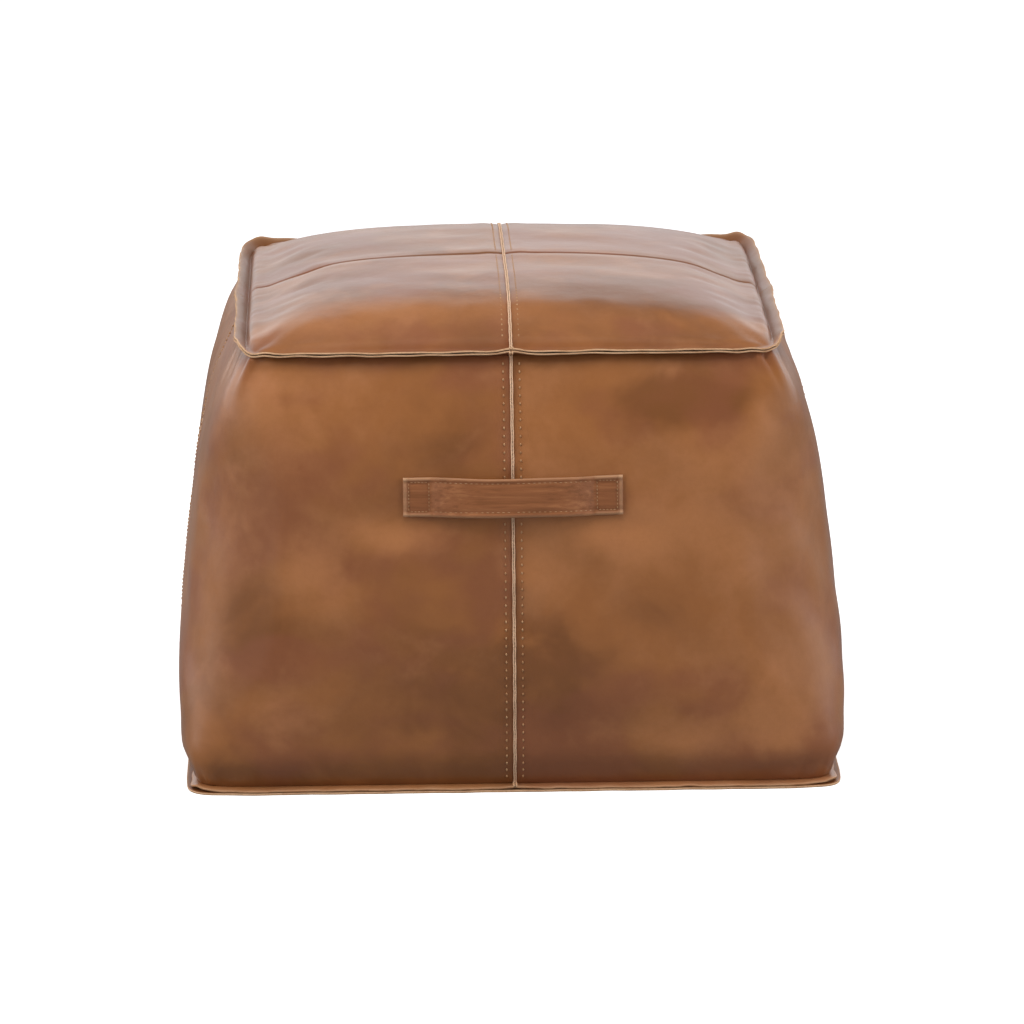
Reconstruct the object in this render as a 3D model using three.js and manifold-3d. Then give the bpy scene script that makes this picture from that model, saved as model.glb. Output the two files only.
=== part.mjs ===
// A square leather pouf: a tapered, stuffed leather cover with turned-out seam edges, a carrying
// handle on the front, a zip across the base and a cloth inner bag that holds the filling.
// Millimetres, +Z up. The pouf stands on z = 0, centred on the Z axis, with its handle towards -Y.
import * as THREE from "three";
import { mergeVertices } from "three/addons/utils/BufferGeometryUtils.js";

// ---- Driving dimensions ------------------------------------------------------------------------

// Cover
const LEATHER = 1.6; // thickness of the hide
const BASE_HALF = 242; // half side of the base seam
const TOP_HALF = 201; // half side of the top seam
const BASE_SEAM_Z = 4.4; // height of the base seam
const TOP_SEAM_Z = 331; // height of the top seam
const BULGE = 24.5; // how far the stuffed walls swell past a straight taper
const BULGE_POWER = 3.6; // higher is flatter in the middle and rounder at the seams
const CROWN = 34; // rise of the top above its seam
const CROWN_ACROSS = 2.9; // flatness of the top from left to right, rounder when lower
const CROWN_ALONG = 4.7; // the same from front to rear
const CROWN_EDGE = 0.62; // steepness of the top beside its seam, steeper when lower
const CORNER_AT_SEAM = 24; // superellipse exponent of the plan at the seams
const CORNER_AT_MIDDLE = 6.3; // the same halfway up, where the corners are rounder
const FLANGE = 8.5; // width of the seam edges that are turned out
const TOP_FLANGE_LIFT = 0.27; // rise of the top flange per millimetre outwards

// Clearances
const SEAM_GAP = 0.5; // between sewn edges and between stacked layers
const LAYER_GAP = 0.6; // between the cover and what is sewn to its inside
const RUN_GAP = 0.4; // between the zip slider and the teeth

// Handle, a strap across the middle of the front
const HANDLE_Z = 229; // height of its centre
const HANDLE_LENGTH = 166;
const HANDLE_HEIGHT = 30;
const HANDLE_THICKNESS = 3.2; // leather folded double
const HANDLE_SEWN = 22; // length of each box-stitched end
const HANDLE_RAMP = 14; // stretch beside each sewn end that rises but does not swing
const HANDLE_BOW = 11.5; // gap behind the middle of the strap
const HANDLE_BOW_POWER = 3.4;
const HANDLE_SEAT = 0.6; // between the sewn ends and the curved wall
const HANDLE_SPLIT = 0.5; // between the swinging middle and each ramp
const PATCH_THICKNESS = 1.2; // reinforcing patch behind each sewn end
const PATCH_MARGIN = 4; // how far the patch reaches past the sewn end
const PATCH_SEAT = 0.8; // between the patch and the wall

// Tapes inside the seams
const TAPE_WIDTH = 22;
const TAPE_THICKNESS = 0.8;

// Zip across the base
const ZIP_END_MARGIN = 52; // from each end of the rows of teeth to the base seam
const TEETH_WIDTH = 2.8; // of one row
const TEETH_HEIGHT = 2.6;
const TEETH_Z = 7.8; // underside of the teeth
const WEB = 1; // thickness of the slider's middle web
const ZIP_TAPE_WIDTH = 13;
const ZIP_TAPE_PAST = 6; // tape past each end of the teeth
const SLIDER_LENGTH = 16;
const SLIDER_PLATE = 1.2;
const SLIDER_SIDE = 1.6; // plate past the teeth on each side
const SLIDER_END_GAP = 1.5; // from the closed slider to its stop
const STOP_LENGTH = 4;
const ARCH_WIDTH = 2; // bridge that holds the pull
const ARCH_BAR = 1;
const ARCH_OPENING = 2.8; // along the zip
const ARCH_HEIGHT = 2.4; // clear height under the plate
const PULL_ROD = 0.9; // radius of the pull's end bar
const PULL_THICKNESS = 1.4;
const PULL_WIDTH = 8;
const PULL_LENGTH = 26;
const PULL_ARM = 1.5;
const PULL_WINDOW = 9; // length of the window that straddles the bridge

// Channel in the base leather that keeps the zip off the floor
const CHANNEL_SHELF = 18; // half width of its flat top
const CHANNEL_FOOT = 42; // half width where it meets the floor
const CHANNEL_PAST_PULL = 3.5; // how far it stays high past the reach of the pull
const CHANNEL_RUNOUT = 24; // length over which it then dies away

// Inner bag and filling
const BAG_THICKNESS = 0.8;
const BAG_INSET = 5; // from the middle of the hide to the middle of the bag's cloth
const BAG_MOUTH_LENGTH = 0.45; // half length of its mouth, as a share of the base's half side
const BAG_BASE_Z = 4.8; // middle of the bag's cloth above the floor
const BAG_OVER_SLIDER = 0.8; // from the slider to the bag's cloth
const BAG_SHOULDER = 8; // how far the bag's top edge lies in from the top seam and below it
const BAG_DROP = 5.5; // from the middle of the crown's leather to the middle of the bag's cloth
const FILL_GAP = 1.4; // from the middle of the bag's cloth to the filling
const PAD_GAP = 0.6; // between the foam block and the pad on top of it

// ---- Materials ---------------------------------------------------------------------------------

const material = (color, roughness, metalness = 0) =>
  new THREE.MeshStandardMaterial({ color, roughness, metalness });
const leather = material(0x8e5c38, 0.45);
const handleLeather = material(0x80512f, 0.5);
const tapeCloth = material(0x3a2b22, 0.9);
const bagCloth = material(0xd9d2c2, 0.95);
const foam = material(0xe8e0c8, 0.95);
const wadding = material(0xf2f0ea, 1);
const brass = material(0x8f744a, 0.35, 1);
const nylon = material(0x4a3527, 0.55);

const pouf = new THREE.Group();

function add(name, geometry, finish, parent = pouf) {
  const mesh = new THREE.Mesh(geometry, finish);
  mesh.name = name;
  parent.add(mesh);
  return mesh;
}

// ---- Closed meshes from quads ------------------------------------------------------------------

function solidFromQuads(quads) {
  const positions = [];
  let volume = 0;
  const triangle = new THREE.Vector3();
  for (const [a, b, c, d] of quads) {
    for (const [p, q, r] of [[a, b, c], [a, c, d]]) {
      positions.push(...p.toArray(), ...q.toArray(), ...r.toArray());
      volume += p.dot(triangle.crossVectors(q, r));
    }
  }
  if (volume < 0) {
    const turned = quads.map(([a, b, c, d]) => [a, d, c, b]);
    return solidFromQuads(turned);
  }
  const geometry = new THREE.BufferGeometry();
  geometry.setAttribute("position", new THREE.Float32BufferAttribute(positions, 3));
  return mergeVertices(geometry, 1e-4);
}

// Unit normals of a grid of points, each the mean of the faces round it.
function gridNormals(grid) {
  const rows = grid.length;
  const columns = grid[0].length;
  return grid.map((row, i) =>
    row.map((_, j) => {
      const along = new THREE.Vector3();
      const across = new THREE.Vector3();
      const normal = new THREE.Vector3();
      for (const di of [-1, 1]) {
        for (const dj of [-1, 1]) {
          if (!grid[i + di] || i + di >= rows || j + dj < 0 || j + dj >= columns) {
            continue;
          }
          along.subVectors(grid[i + di][j], grid[i][j]).multiplyScalar(di);
          across.subVectors(grid[i][j + dj], grid[i][j]).multiplyScalar(dj);
          normal.add(along.cross(across).normalize());
        }
      }
      return normal.normalize();
    }),
  );
}

// A sheet of even thickness whose middle surface runs through a grid of points.
function sheet(grid, thickness) {
  const normals = gridNormals(grid);
  const side = (sign) =>
    grid.map((row, i) =>
      row.map((p, j) => p.clone().addScaledVector(normals[i][j], (sign * thickness) / 2)),
    );
  const upper = side(1);
  const lower = side(-1);
  const quads = [];
  const lastRow = grid.length - 1;
  const lastColumn = grid[0].length - 1;
  for (let i = 0; i < lastRow; i++) {
    for (let j = 0; j < lastColumn; j++) {
      quads.push([upper[i][j], upper[i + 1][j], upper[i + 1][j + 1], upper[i][j + 1]]);
      quads.push([lower[i][j], lower[i][j + 1], lower[i + 1][j + 1], lower[i + 1][j]]);
    }
    quads.push([upper[i][0], lower[i][0], lower[i + 1][0], upper[i + 1][0]]);
    quads.push([
      upper[i][lastColumn],
      upper[i + 1][lastColumn],
      lower[i + 1][lastColumn],
      lower[i][lastColumn],
    ]);
  }
  for (let j = 0; j < lastColumn; j++) {
    quads.push([upper[0][j], upper[0][j + 1], lower[0][j + 1], lower[0][j]]);
    quads.push([
      upper[lastRow][j],
      lower[lastRow][j],
      lower[lastRow][j + 1],
      upper[lastRow][j + 1],
    ]);
  }
  return solidFromQuads(quads);
}

// ---- Shape of the cover ------------------------------------------------------------------------

const mix = (a, b, t) => a + (b - a) * t;

// 0 at the seams and 1 halfway between them.
const swell = (t) => 1 - Math.abs(2 * t - 1) ** BULGE_POWER;

const wallHalf = (t) => mix(BASE_HALF, TOP_HALF, t) + BULGE * swell(t);
const wallHeight = (t) => mix(BASE_SEAM_Z, TOP_SEAM_Z, t);
const wallShare = (z) => (z - BASE_SEAM_Z) / (TOP_SEAM_Z - BASE_SEAM_Z);
const wallCorner = (t) => mix(CORNER_AT_SEAM, CORNER_AT_MIDDLE, swell(t));

// The point (p, q) of a square of half side 1, moved in onto a rounded square and scaled.
function planPoint(p, q, half, corner) {
  const ring = Math.max(Math.abs(p), Math.abs(q));
  if (ring === 0) {
    return [0, 0];
  }
  const round = (Math.abs(p / ring) ** corner + Math.abs(q / ring) ** corner) ** (-1 / corner);
  return [p * half * round, q * half * round];
}

// Height of the top leather's middle surface over the plan point (p, q).
function crownHeight(p, q) {
  const lift = (1 - Math.abs(p) ** CROWN_ACROSS) * (1 - Math.abs(q) ** CROWN_ALONG);
  return TOP_SEAM_Z + CROWN * Math.max(lift, 0) ** CROWN_EDGE;
}

// Shares of a quarter of the plan, from the middle of a side to its corner.
const SIDE_SHARES = [0, 0.3, 0.58, 0.78, 0.9, 0.97, 1];
const WALL_STEPS = 10;
const wallShares = Array.from({ length: WALL_STEPS + 1 }, (_, k) => k / WALL_STEPS);

const QUARTERS = [
  ["front_left", -1, -1],
  ["front_right", 1, -1],
  ["rear_left", -1, 1],
  ["rear_right", 1, 1],
];

// Keeps a quarter's edges half a seam gap away from the middle planes.
function quarterPoint(x, y, z, signX, signY) {
  const least = SEAM_GAP / 2;
  return new THREE.Vector3(
    signX * Math.max(Math.abs(x), least),
    signY * Math.max(Math.abs(y), least),
    z,
  );
}

const flangeStack = LEATHER + SEAM_GAP; // between the middles of two stacked flanges
const FLANGE_SHARES = [0.45, 1];

// Top cover: four quarters, each with its crown and the upper layer of the top flange.
function topPanel(signX, signY) {
  const inside = [0, 0.22, 0.42, 0.6, 0.74, 0.85, 0.93, 0.98, 1];
  const outside = FLANGE_SHARES.map((share) => 1 + (share * FLANGE) / TOP_HALF);
  const lines = [...inside, ...outside];
  const grid = lines.map((p) =>
    lines.map((q) => {
      const ring = Math.max(p, q);
      const [x, y] = planPoint(p, q, TOP_HALF, CORNER_AT_SEAM);
      const past = Math.max(ring - 1, 0) * TOP_HALF;
      const scale = ring > 1 ? 1 / ring : 1;
      const z = crownHeight(p * scale, q * scale) + past * TOP_FLANGE_LIFT + flangeStack / 2;
      return quarterPoint(x, y, z, signX, signY);
    }),
  );
  return sheet(grid, LEATHER);
}

// Middle surface of a side panel from its base flange up the wall to its top flange.
function wallProfile() {
  const baseFlangeZ = LEATHER * 1.5 + SEAM_GAP;
  const low = [...FLANGE_SHARES].reverse().map((share) => ({
    half: BASE_HALF + share * FLANGE,
    z: baseFlangeZ,
    corner: CORNER_AT_SEAM,
  }));
  const wall = wallShares.map((t) => ({
    half: wallHalf(t),
    z: t === 1 ? TOP_SEAM_Z - flangeStack / 2 : wallHeight(t),
    corner: wallCorner(t),
  }));
  const high = FLANGE_SHARES.map((share) => ({
    half: TOP_HALF + share * FLANGE,
    z: TOP_SEAM_Z - flangeStack / 2 + share * FLANGE * TOP_FLANGE_LIFT,
    corner: CORNER_AT_SEAM,
  }));
  return [...low, ...wall, ...high];
}

// Side cover: four panels, each wrapped round one corner from face middle to face middle.
function sidePanel(signX, signY) {
  const around = [
    ...SIDE_SHARES.map((share) => [share, 1]),
    ...[...SIDE_SHARES].reverse().slice(1).map((share) => [1, share]),
  ];
  const grid = wallProfile().map(({ half, z, corner }) =>
    around.map(([p, q]) => {
      const [x, y] = planPoint(p, q, half, corner);
      return quarterPoint(x, y, z, signX, signY);
    }),
  );
  return sheet(grid, LEATHER);
}

// ---- Base: two panels with a raised channel for the zip ----------------------------------------

const zipHalf = BASE_HALF - ZIP_END_MARGIN;
const tapeHalf = zipHalf + ZIP_TAPE_PAST;
const sliderX = zipHalf - SLIDER_END_GAP - SLIDER_LENGTH / 2; // the zip is closed at +X
const shelfHalf = Math.max(tapeHalf, sliderX + PULL_LENGTH + CHANNEL_PAST_PULL);
const sliderHalfWidth = WEB / 2 + RUN_GAP + TEETH_WIDTH + SLIDER_SIDE;
const zipTapeZ = TEETH_Z + TEETH_HEIGHT / 2; // middle of the zip tape
const shelfZ = zipTapeZ - TAPE_THICKNESS / 2 - LAYER_GAP - LEATHER / 2;
const zipMouth = sliderHalfWidth + RUN_GAP; // half width between the leather edges

// 1 over the zip, 0 where the base lies on the floor.
function channelShare(x, y) {
  const across = (CHANNEL_FOOT - Math.abs(y)) / (CHANNEL_FOOT - CHANNEL_SHELF);
  const along = (shelfHalf + CHANNEL_RUNOUT - Math.abs(x)) / CHANNEL_RUNOUT;
  return THREE.MathUtils.clamp(across, 0, 1) * THREE.MathUtils.clamp(along, 0, 1);
}

function basePanel(signY) {
  const outline = BASE_HALF + FLANGE;
  const span = [0, 0.35, 0.7, 1].map((share) => share * tapeHalf);
  const channelEnd = shelfHalf + CHANNEL_RUNOUT;
  const corner = [0.4, 0.7, 0.88, 0.97, 0.9997].map((share) => mix(channelEnd, outline, share));
  const right = [...span, tapeHalf + SEAM_GAP, shelfHalf, channelEnd, ...corner];
  const columns = [...right.slice(1).reverse().map((x) => -x), ...right];
  const grid = columns.map((x) => {
    const edge = outline * (1 - (Math.abs(x) / outline) ** CORNER_AT_SEAM) ** (1 / CORNER_AT_SEAM);
    const inner = Math.abs(x) <= tapeHalf ? zipMouth : SEAM_GAP / 2;
    const rows = [
      inner,
      CHANNEL_SHELF,
      mix(CHANNEL_SHELF, CHANNEL_FOOT, 0.5),
      CHANNEL_FOOT,
      mix(CHANNEL_FOOT, edge, 0.5),
      edge,
    ];
    return rows.map((y) => {
      const z = mix(LEATHER / 2, shelfZ, channelShare(x, y));
      return new THREE.Vector3(x, signY * y, z);
    });
  });
  return sheet(grid, LEATHER);
}

for (const [quarter, signX, signY] of QUARTERS) {
  add(`top_panel_${quarter}`, topPanel(signX, signY), leather);
  add(`side_panel_${quarter}`, sidePanel(signX, signY), leather);
}
add("base_panel_front", basePanel(-1), leather);
add("base_panel_rear", basePanel(1), leather);

// ---- Tapes sewn behind the seams ---------------------------------------------------------------

const tapeInset = LEATHER / 2 + LAYER_GAP + TAPE_THICKNESS / 2;

// A tape up the inside of one face, facing -Y until it is turned.
function wallTape() {
  const shares = wallShares.slice(1, -1);
  const grid = shares.map((t) =>
    [-1, 1].map((side) => {
      const inset = wallHalf(t) - tapeInset;
      return new THREE.Vector3((side * TAPE_WIDTH) / 2, -inset, wallHeight(t));
    }),
  );
  return sheet(grid, TAPE_THICKNESS);
}

const FACES = [
  ["front", 0],
  ["right", Math.PI / 2],
  ["rear", Math.PI],
  ["left", -Math.PI / 2],
];
for (const [face, turn] of FACES) {
  add(`wall_seam_tape_${face}`, wallTape(), tapeCloth).rotation.z = turn;
}

// A tape under the crown, drawn along Y between two shares of its half length. The height of the
// crown is given for a share beside the tape's line and a share along it.
function crownTape(from, to, heightAt) {
  const steps = 8;
  const grid = [];
  for (let k = 0; k <= steps; k++) {
    const q = mix(from, to, k / steps);
    const row = [-1, 0, 1].map((side) => {
      const x = (side * TAPE_WIDTH) / 2;
      const z = heightAt(x / TOP_HALF, q) + flangeStack / 2 - tapeInset - TAPE_THICKNESS;
      return new THREE.Vector3(x, q * TOP_HALF, z);
    });
    grid.push(row);
  }
  return sheet(grid, TAPE_THICKNESS);
}

const CROWN_TAPE_END = 0.84;
const crossingEdge = (TAPE_WIDTH / 2 + LAYER_GAP) / TOP_HALF;
add("top_seam_tape_long", crownTape(-CROWN_TAPE_END, CROWN_TAPE_END, crownHeight), tapeCloth);
for (const [side, sign] of [["left", 1], ["right", -1]]) {
  const heightAcross = (beside, along) => crownHeight(along, beside);
  const tape = crownTape(crossingEdge, CROWN_TAPE_END, heightAcross);
  add(`top_seam_tape_${side}`, tape, tapeCloth).rotation.z = (sign * Math.PI) / 2;
}

// ---- Handle ------------------------------------------------------------------------------------

// The handle's own frame lies on the leather: X along the strap, -Y straight out of the wall.
const handleShare = wallShare(HANDLE_Z);
const slopeStep = 0.02;
const wallSlope =
  (wallHalf(handleShare - slopeStep) - wallHalf(handleShare + slopeStep)) /
  (wallHeight(handleShare + slopeStep) - wallHeight(handleShare - slopeStep));
const handle = new THREE.Group();
handle.position.set(0, -(wallHalf(handleShare) + LEATHER / 2), HANDLE_Z);
handle.rotation.x = -Math.atan(wallSlope);
pouf.add(handle);

const handleHalf = HANDLE_LENGTH / 2;
const freeHalf = handleHalf - HANDLE_SEWN; // half of the strap that stands off the wall
const swingHalf = freeHalf - HANDLE_RAMP; // half of the part that swings

// Gap between the wall and the inner face of the strap.
function handleGap(x) {
  const share = Math.min(Math.abs(x) / freeHalf, 1);
  return HANDLE_SEAT + HANDLE_BOW * (1 - share ** HANDLE_BOW_POWER);
}

// A length of strap between two places along X, seen from above and given its height.
function strapLength(from, to, steps) {
  const inner = [];
  const outer = [];
  for (let k = 0; k <= steps; k++) {
    const x = mix(from, to, k / steps);
    inner.push(new THREE.Vector2(x, -handleGap(x)));
    outer.push(new THREE.Vector2(x, -handleGap(x) - HANDLE_THICKNESS));
  }
  const outline = new THREE.Shape([...inner, ...outer.reverse()]);
  const strap = new THREE.ExtrudeGeometry(outline, { depth: HANDLE_HEIGHT, bevelEnabled: false });
  return strap.translate(0, 0, -HANDLE_HEIGHT / 2);
}

add("handle_strap", strapLength(-swingHalf, swingHalf, 14), handleLeather, handle);
const rampEdge = swingHalf + HANDLE_SPLIT;
add("handle_end_left", strapLength(-handleHalf, -rampEdge, 10), handleLeather, handle);
add("handle_end_right", strapLength(rampEdge, handleHalf, 10), handleLeather, handle);

// Half width of the wall at a height, as its panels are drawn: straight between their rows.
function drawnHalf(z) {
  const row = Math.min(Math.floor(wallShare(z) * WALL_STEPS), WALL_STEPS - 1);
  const part = wallShare(z) * WALL_STEPS - row;
  return mix(wallHalf(wallShares[row]), wallHalf(wallShares[row + 1]), part);
}

// A patch inside the cover behind each sewn end, to take the handle's pull. It follows the wall.
const patchReach = HANDLE_HEIGHT / 2 + PATCH_MARGIN;
const patchEnds = [HANDLE_Z - patchReach, HANDLE_Z + patchReach];
const wallRows = wallShares.map(wallHeight);
const patchRows = [
  patchEnds[0],
  ...wallRows.filter((z) => z > patchEnds[0] + 1 && z < patchEnds[1] - 1),
  patchEnds[1],
];
for (const [side, sign] of [["left", -1], ["right", 1]]) {
  const ends = [handleHalf - HANDLE_SEWN - PATCH_MARGIN, handleHalf + PATCH_MARGIN];
  const inset = LEATHER / 2 + PATCH_SEAT + PATCH_THICKNESS / 2;
  const grid = patchRows.map((z) =>
    ends.map((x) => new THREE.Vector3(sign * x, inset - drawnHalf(z), z)),
  );
  add(`handle_patch_${side}`, sheet(grid, PATCH_THICKNESS), tapeCloth);
}

// ---- Zip ---------------------------------------------------------------------------------------

function box(x0, x1, y0, y1, z0, z1) {
  const block = new THREE.BoxGeometry(x1 - x0, y1 - y0, z1 - z0);
  return block.translate((x0 + x1) / 2, (y0 + y1) / 2, (z0 + z1) / 2);
}

const teethInner = WEB / 2 + RUN_GAP;
const teethOuter = teethInner + TEETH_WIDTH;
const tapeInner = teethOuter + SEAM_GAP;

for (const [side, sign] of [["front", -1], ["rear", 1]]) {
  const teeth = box(-zipHalf, zipHalf, teethInner, teethOuter, TEETH_Z, TEETH_Z + TEETH_HEIGHT);
  const tape = box(
    -tapeHalf,
    tapeHalf,
    tapeInner,
    tapeInner + ZIP_TAPE_WIDTH,
    zipTapeZ - TAPE_THICKNESS / 2,
    zipTapeZ + TAPE_THICKNESS / 2,
  );
  for (const piece of [teeth, tape]) {
    piece.rotateZ(sign < 0 ? Math.PI : 0);
  }
  add(`zip_teeth_${side}`, teeth, nylon);
  add(`zip_tape_${side}`, tape, tapeCloth);
}

// The stops bridge both rows just past their ends.
const stopStart = zipHalf + SEAM_GAP;
for (const [side, sign] of [["left", -1], ["right", 1]]) {
  const stop = box(0, STOP_LENGTH, -teethOuter, teethOuter, TEETH_Z, TEETH_Z + TEETH_HEIGHT);
  stop.translate(sign > 0 ? stopStart : -stopStart - STOP_LENGTH, 0, 0);
  add(`zip_stop_${side}`, stop, brass);
}

// The slider is two plates joined by a web that runs between the rows, so the rows need not part.
const lowerPlateTop = TEETH_Z - RUN_GAP;
const lowerPlateBottom = lowerPlateTop - SLIDER_PLATE;
const upperPlateBottom = TEETH_Z + TEETH_HEIGHT + RUN_GAP;
const upperPlateTop = upperPlateBottom + SLIDER_PLATE;

function sliderSection() {
  const half = sliderHalfWidth;
  const web = WEB / 2;
  return new THREE.Shape([
    new THREE.Vector2(-half, lowerPlateBottom),
    new THREE.Vector2(half, lowerPlateBottom),
    new THREE.Vector2(half, lowerPlateTop),
    new THREE.Vector2(web, lowerPlateTop),
    new THREE.Vector2(web, upperPlateBottom),
    new THREE.Vector2(half, upperPlateBottom),
    new THREE.Vector2(half, upperPlateTop),
    new THREE.Vector2(-half, upperPlateTop),
    new THREE.Vector2(-half, upperPlateBottom),
    new THREE.Vector2(-web, upperPlateBottom),
    new THREE.Vector2(-web, lowerPlateTop),
    new THREE.Vector2(-half, lowerPlateTop),
  ]);
}

// Bridge under the slider, a U seen from the side, sunk a little into the plate it is joined to.
function sliderBridge() {
  const inner = ARCH_OPENING / 2;
  const outer = inner + ARCH_BAR;
  const floor = lowerPlateBottom - ARCH_HEIGHT;
  const root = lowerPlateBottom + SLIDER_PLATE / 2;
  const outline = new THREE.Shape([
    new THREE.Vector2(-outer, root),
    new THREE.Vector2(-outer, floor - ARCH_BAR),
    new THREE.Vector2(outer, floor - ARCH_BAR),
    new THREE.Vector2(outer, root),
    new THREE.Vector2(inner, root),
    new THREE.Vector2(inner, floor),
    new THREE.Vector2(-inner, floor),
    new THREE.Vector2(-inner, root),
  ]);
  const bridge = new THREE.ExtrudeGeometry(outline, { depth: ARCH_WIDTH, bevelEnabled: false });
  return bridge.rotateX(Math.PI / 2).translate(0, ARCH_WIDTH / 2, 0);
}

const body = new THREE.ExtrudeGeometry(sliderSection(), {
  depth: SLIDER_LENGTH,
  bevelEnabled: false,
});
body.applyMatrix4(
  new THREE.Matrix4().makeBasis(
    new THREE.Vector3(0, 1, 0),
    new THREE.Vector3(0, 0, 1),
    new THREE.Vector3(1, 0, 0),
  ),
);
body.translate(-SLIDER_LENGTH / 2, 0, 0);

const { default: Module } = await import("manifold-3d");
const wasm = await Module();
wasm.setup();

function toManifold(geometry) {
  const bare = geometry.clone();
  bare.deleteAttribute("normal");
  bare.deleteAttribute("uv");
  const merged = mergeVertices(bare, 1e-4);
  return new wasm.Manifold(
    new wasm.Mesh({
      numProp: 3,
      vertProperties: merged.attributes.position.array,
      triVerts: new Uint32Array(merged.index.array),
    }),
  );
}

function joined(first, ...others) {
  let solid = toManifold(first);
  for (const other of others) {
    solid = solid.add(toManifold(other));
  }
  const mesh = solid.getMesh();
  const geometry = new THREE.BufferGeometry();
  geometry.setAttribute("position", new THREE.Float32BufferAttribute(mesh.vertProperties, 3));
  geometry.setIndex(Array.from(mesh.triVerts));
  return geometry;
}

const slider = new THREE.Group();
slider.position.x = sliderX;
pouf.add(slider);
add("zip_slider", joined(body, sliderBridge()), brass, slider);

// The pull: a bar through the bridge, two arms beside it and a flat tab, lying towards -X.
const rodZ = lowerPlateBottom - ARCH_HEIGHT / 2;
const armInner = ARCH_WIDTH / 2 + RUN_GAP;
const halfPull = Math.max(PULL_WIDTH / 2, armInner + PULL_ARM);
const rod = new THREE.CylinderGeometry(PULL_ROD, PULL_ROD, 2 * (armInner + PULL_ARM / 2), 12);
const arms = [-1, 1].map((sign) => {
  const inner = sign * armInner;
  const outer = sign * (armInner + PULL_ARM);
  return box(
    -PULL_WINDOW,
    PULL_THICKNESS / 2,
    Math.min(inner, outer),
    Math.max(inner, outer),
    -PULL_THICKNESS / 2,
    PULL_THICKNESS / 2,
  );
});
const tab = box(
  -PULL_LENGTH,
  -PULL_WINDOW + PULL_ARM,
  -halfPull,
  halfPull,
  -PULL_THICKNESS / 2,
  PULL_THICKNESS / 2,
);
const pull = add("zip_pull", joined(tab, ...arms, rod), brass, slider);
pull.position.z = rodZ;

// ---- Inner bag and filling ---------------------------------------------------------------------

const bagLift = upperPlateTop + BAG_OVER_SLIDER + BAG_THICKNESS / 2 - BAG_BASE_Z;
const padShare = wallShares[wallShares.length - 2]; // where the foam block ends

// Grid lines, as shares of the half side: they follow the edges of the channel and of the mouth.
const baseReach = BASE_HALF - BAG_INSET;
const bagHalfLines = [
  CHANNEL_SHELF / baseReach,
  CHANNEL_FOOT / baseReach,
  BAG_MOUTH_LENGTH,
  shelfHalf / baseReach,
  (shelfHalf + CHANNEL_RUNOUT) / baseReach,
  1,
];
const bagLines = [...[...bagHalfLines].reverse().map((share) => -share), ...bagHalfLines];
const lastLine = bagLines.length - 1;

// A level of the grid: every crossing of its lines on one rounded square.
function level(half, corner, heightAt) {
  return bagLines.map((p) =>
    bagLines.map((q) => {
      const [x, y] = planPoint(p, q, half, corner);
      const onBorder = Math.max(Math.abs(p), Math.abs(q)) === 1;
      return new THREE.Vector3(x, y, heightAt(x, y, onBorder));
    }),
  );
}

const baseLevel = (offset) =>
  level(
    BASE_HALF - BAG_INSET - offset,
    CORNER_AT_SEAM,
    (x, y) => BAG_BASE_Z + offset + bagLift * channelShare(x, y),
  );
const wallLevel = (t, offset) =>
  level(wallHalf(t) - BAG_INSET - offset, wallCorner(t), () => wallHeight(t));
const crownLevel = (offset) =>
  level(TOP_HALF - BAG_SHOULDER - offset, CORNER_AT_SEAM, (x, y, onBorder) =>
    onBorder
      ? TOP_SEAM_Z - BAG_SHOULDER - offset
      : crownHeight(x / TOP_HALF, y / TOP_HALF) - BAG_DROP - offset,
  );

// The border of the grid, walked once round, anticlockwise from above.
const steps = Array.from({ length: lastLine }, (_, k) => k);
const border = [
  ...steps.map((k) => [k, 0]),
  ...steps.map((k) => [lastLine, k]),
  ...steps.map((k) => [lastLine - k, lastLine]),
  ...steps.map((k) => [0, lastLine - k]),
];

const inMouth = (i, j) =>
  Math.abs(bagLines[i] + bagLines[i + 1]) < 2 * BAG_MOUTH_LENGTH &&
  Math.abs(bagLines[j] + bagLines[j + 1]) < bagHalfLines[0];

// Quads of a stuffed form from its lowest level to its highest, facing out.
function pillowQuads(levels, isOpen = () => false) {
  const quads = [];
  const low = levels[0];
  const high = levels[levels.length - 1];
  for (let i = 0; i < lastLine; i++) {
    for (let j = 0; j < lastLine; j++) {
      if (!isOpen(i, j)) {
        quads.push([low[i][j], low[i][j + 1], low[i + 1][j + 1], low[i + 1][j]]);
      }
      quads.push([high[i][j], high[i + 1][j], high[i + 1][j + 1], high[i][j + 1]]);
    }
  }
  for (let r = 0; r < levels.length - 1; r++) {
    border.forEach(([i, j], k) => {
      const [m, n] = border[(k + 1) % border.length];
      quads.push([levels[r][i][j], levels[r][m][n], levels[r + 1][m][n], levels[r + 1][i][j]]);
    });
  }
  return quads;
}

const bagLevels = (offset) => [
  baseLevel(offset),
  ...wallShares.slice(1, -1).map((t) => wallLevel(t, offset)),
  crownLevel(offset),
];

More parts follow.
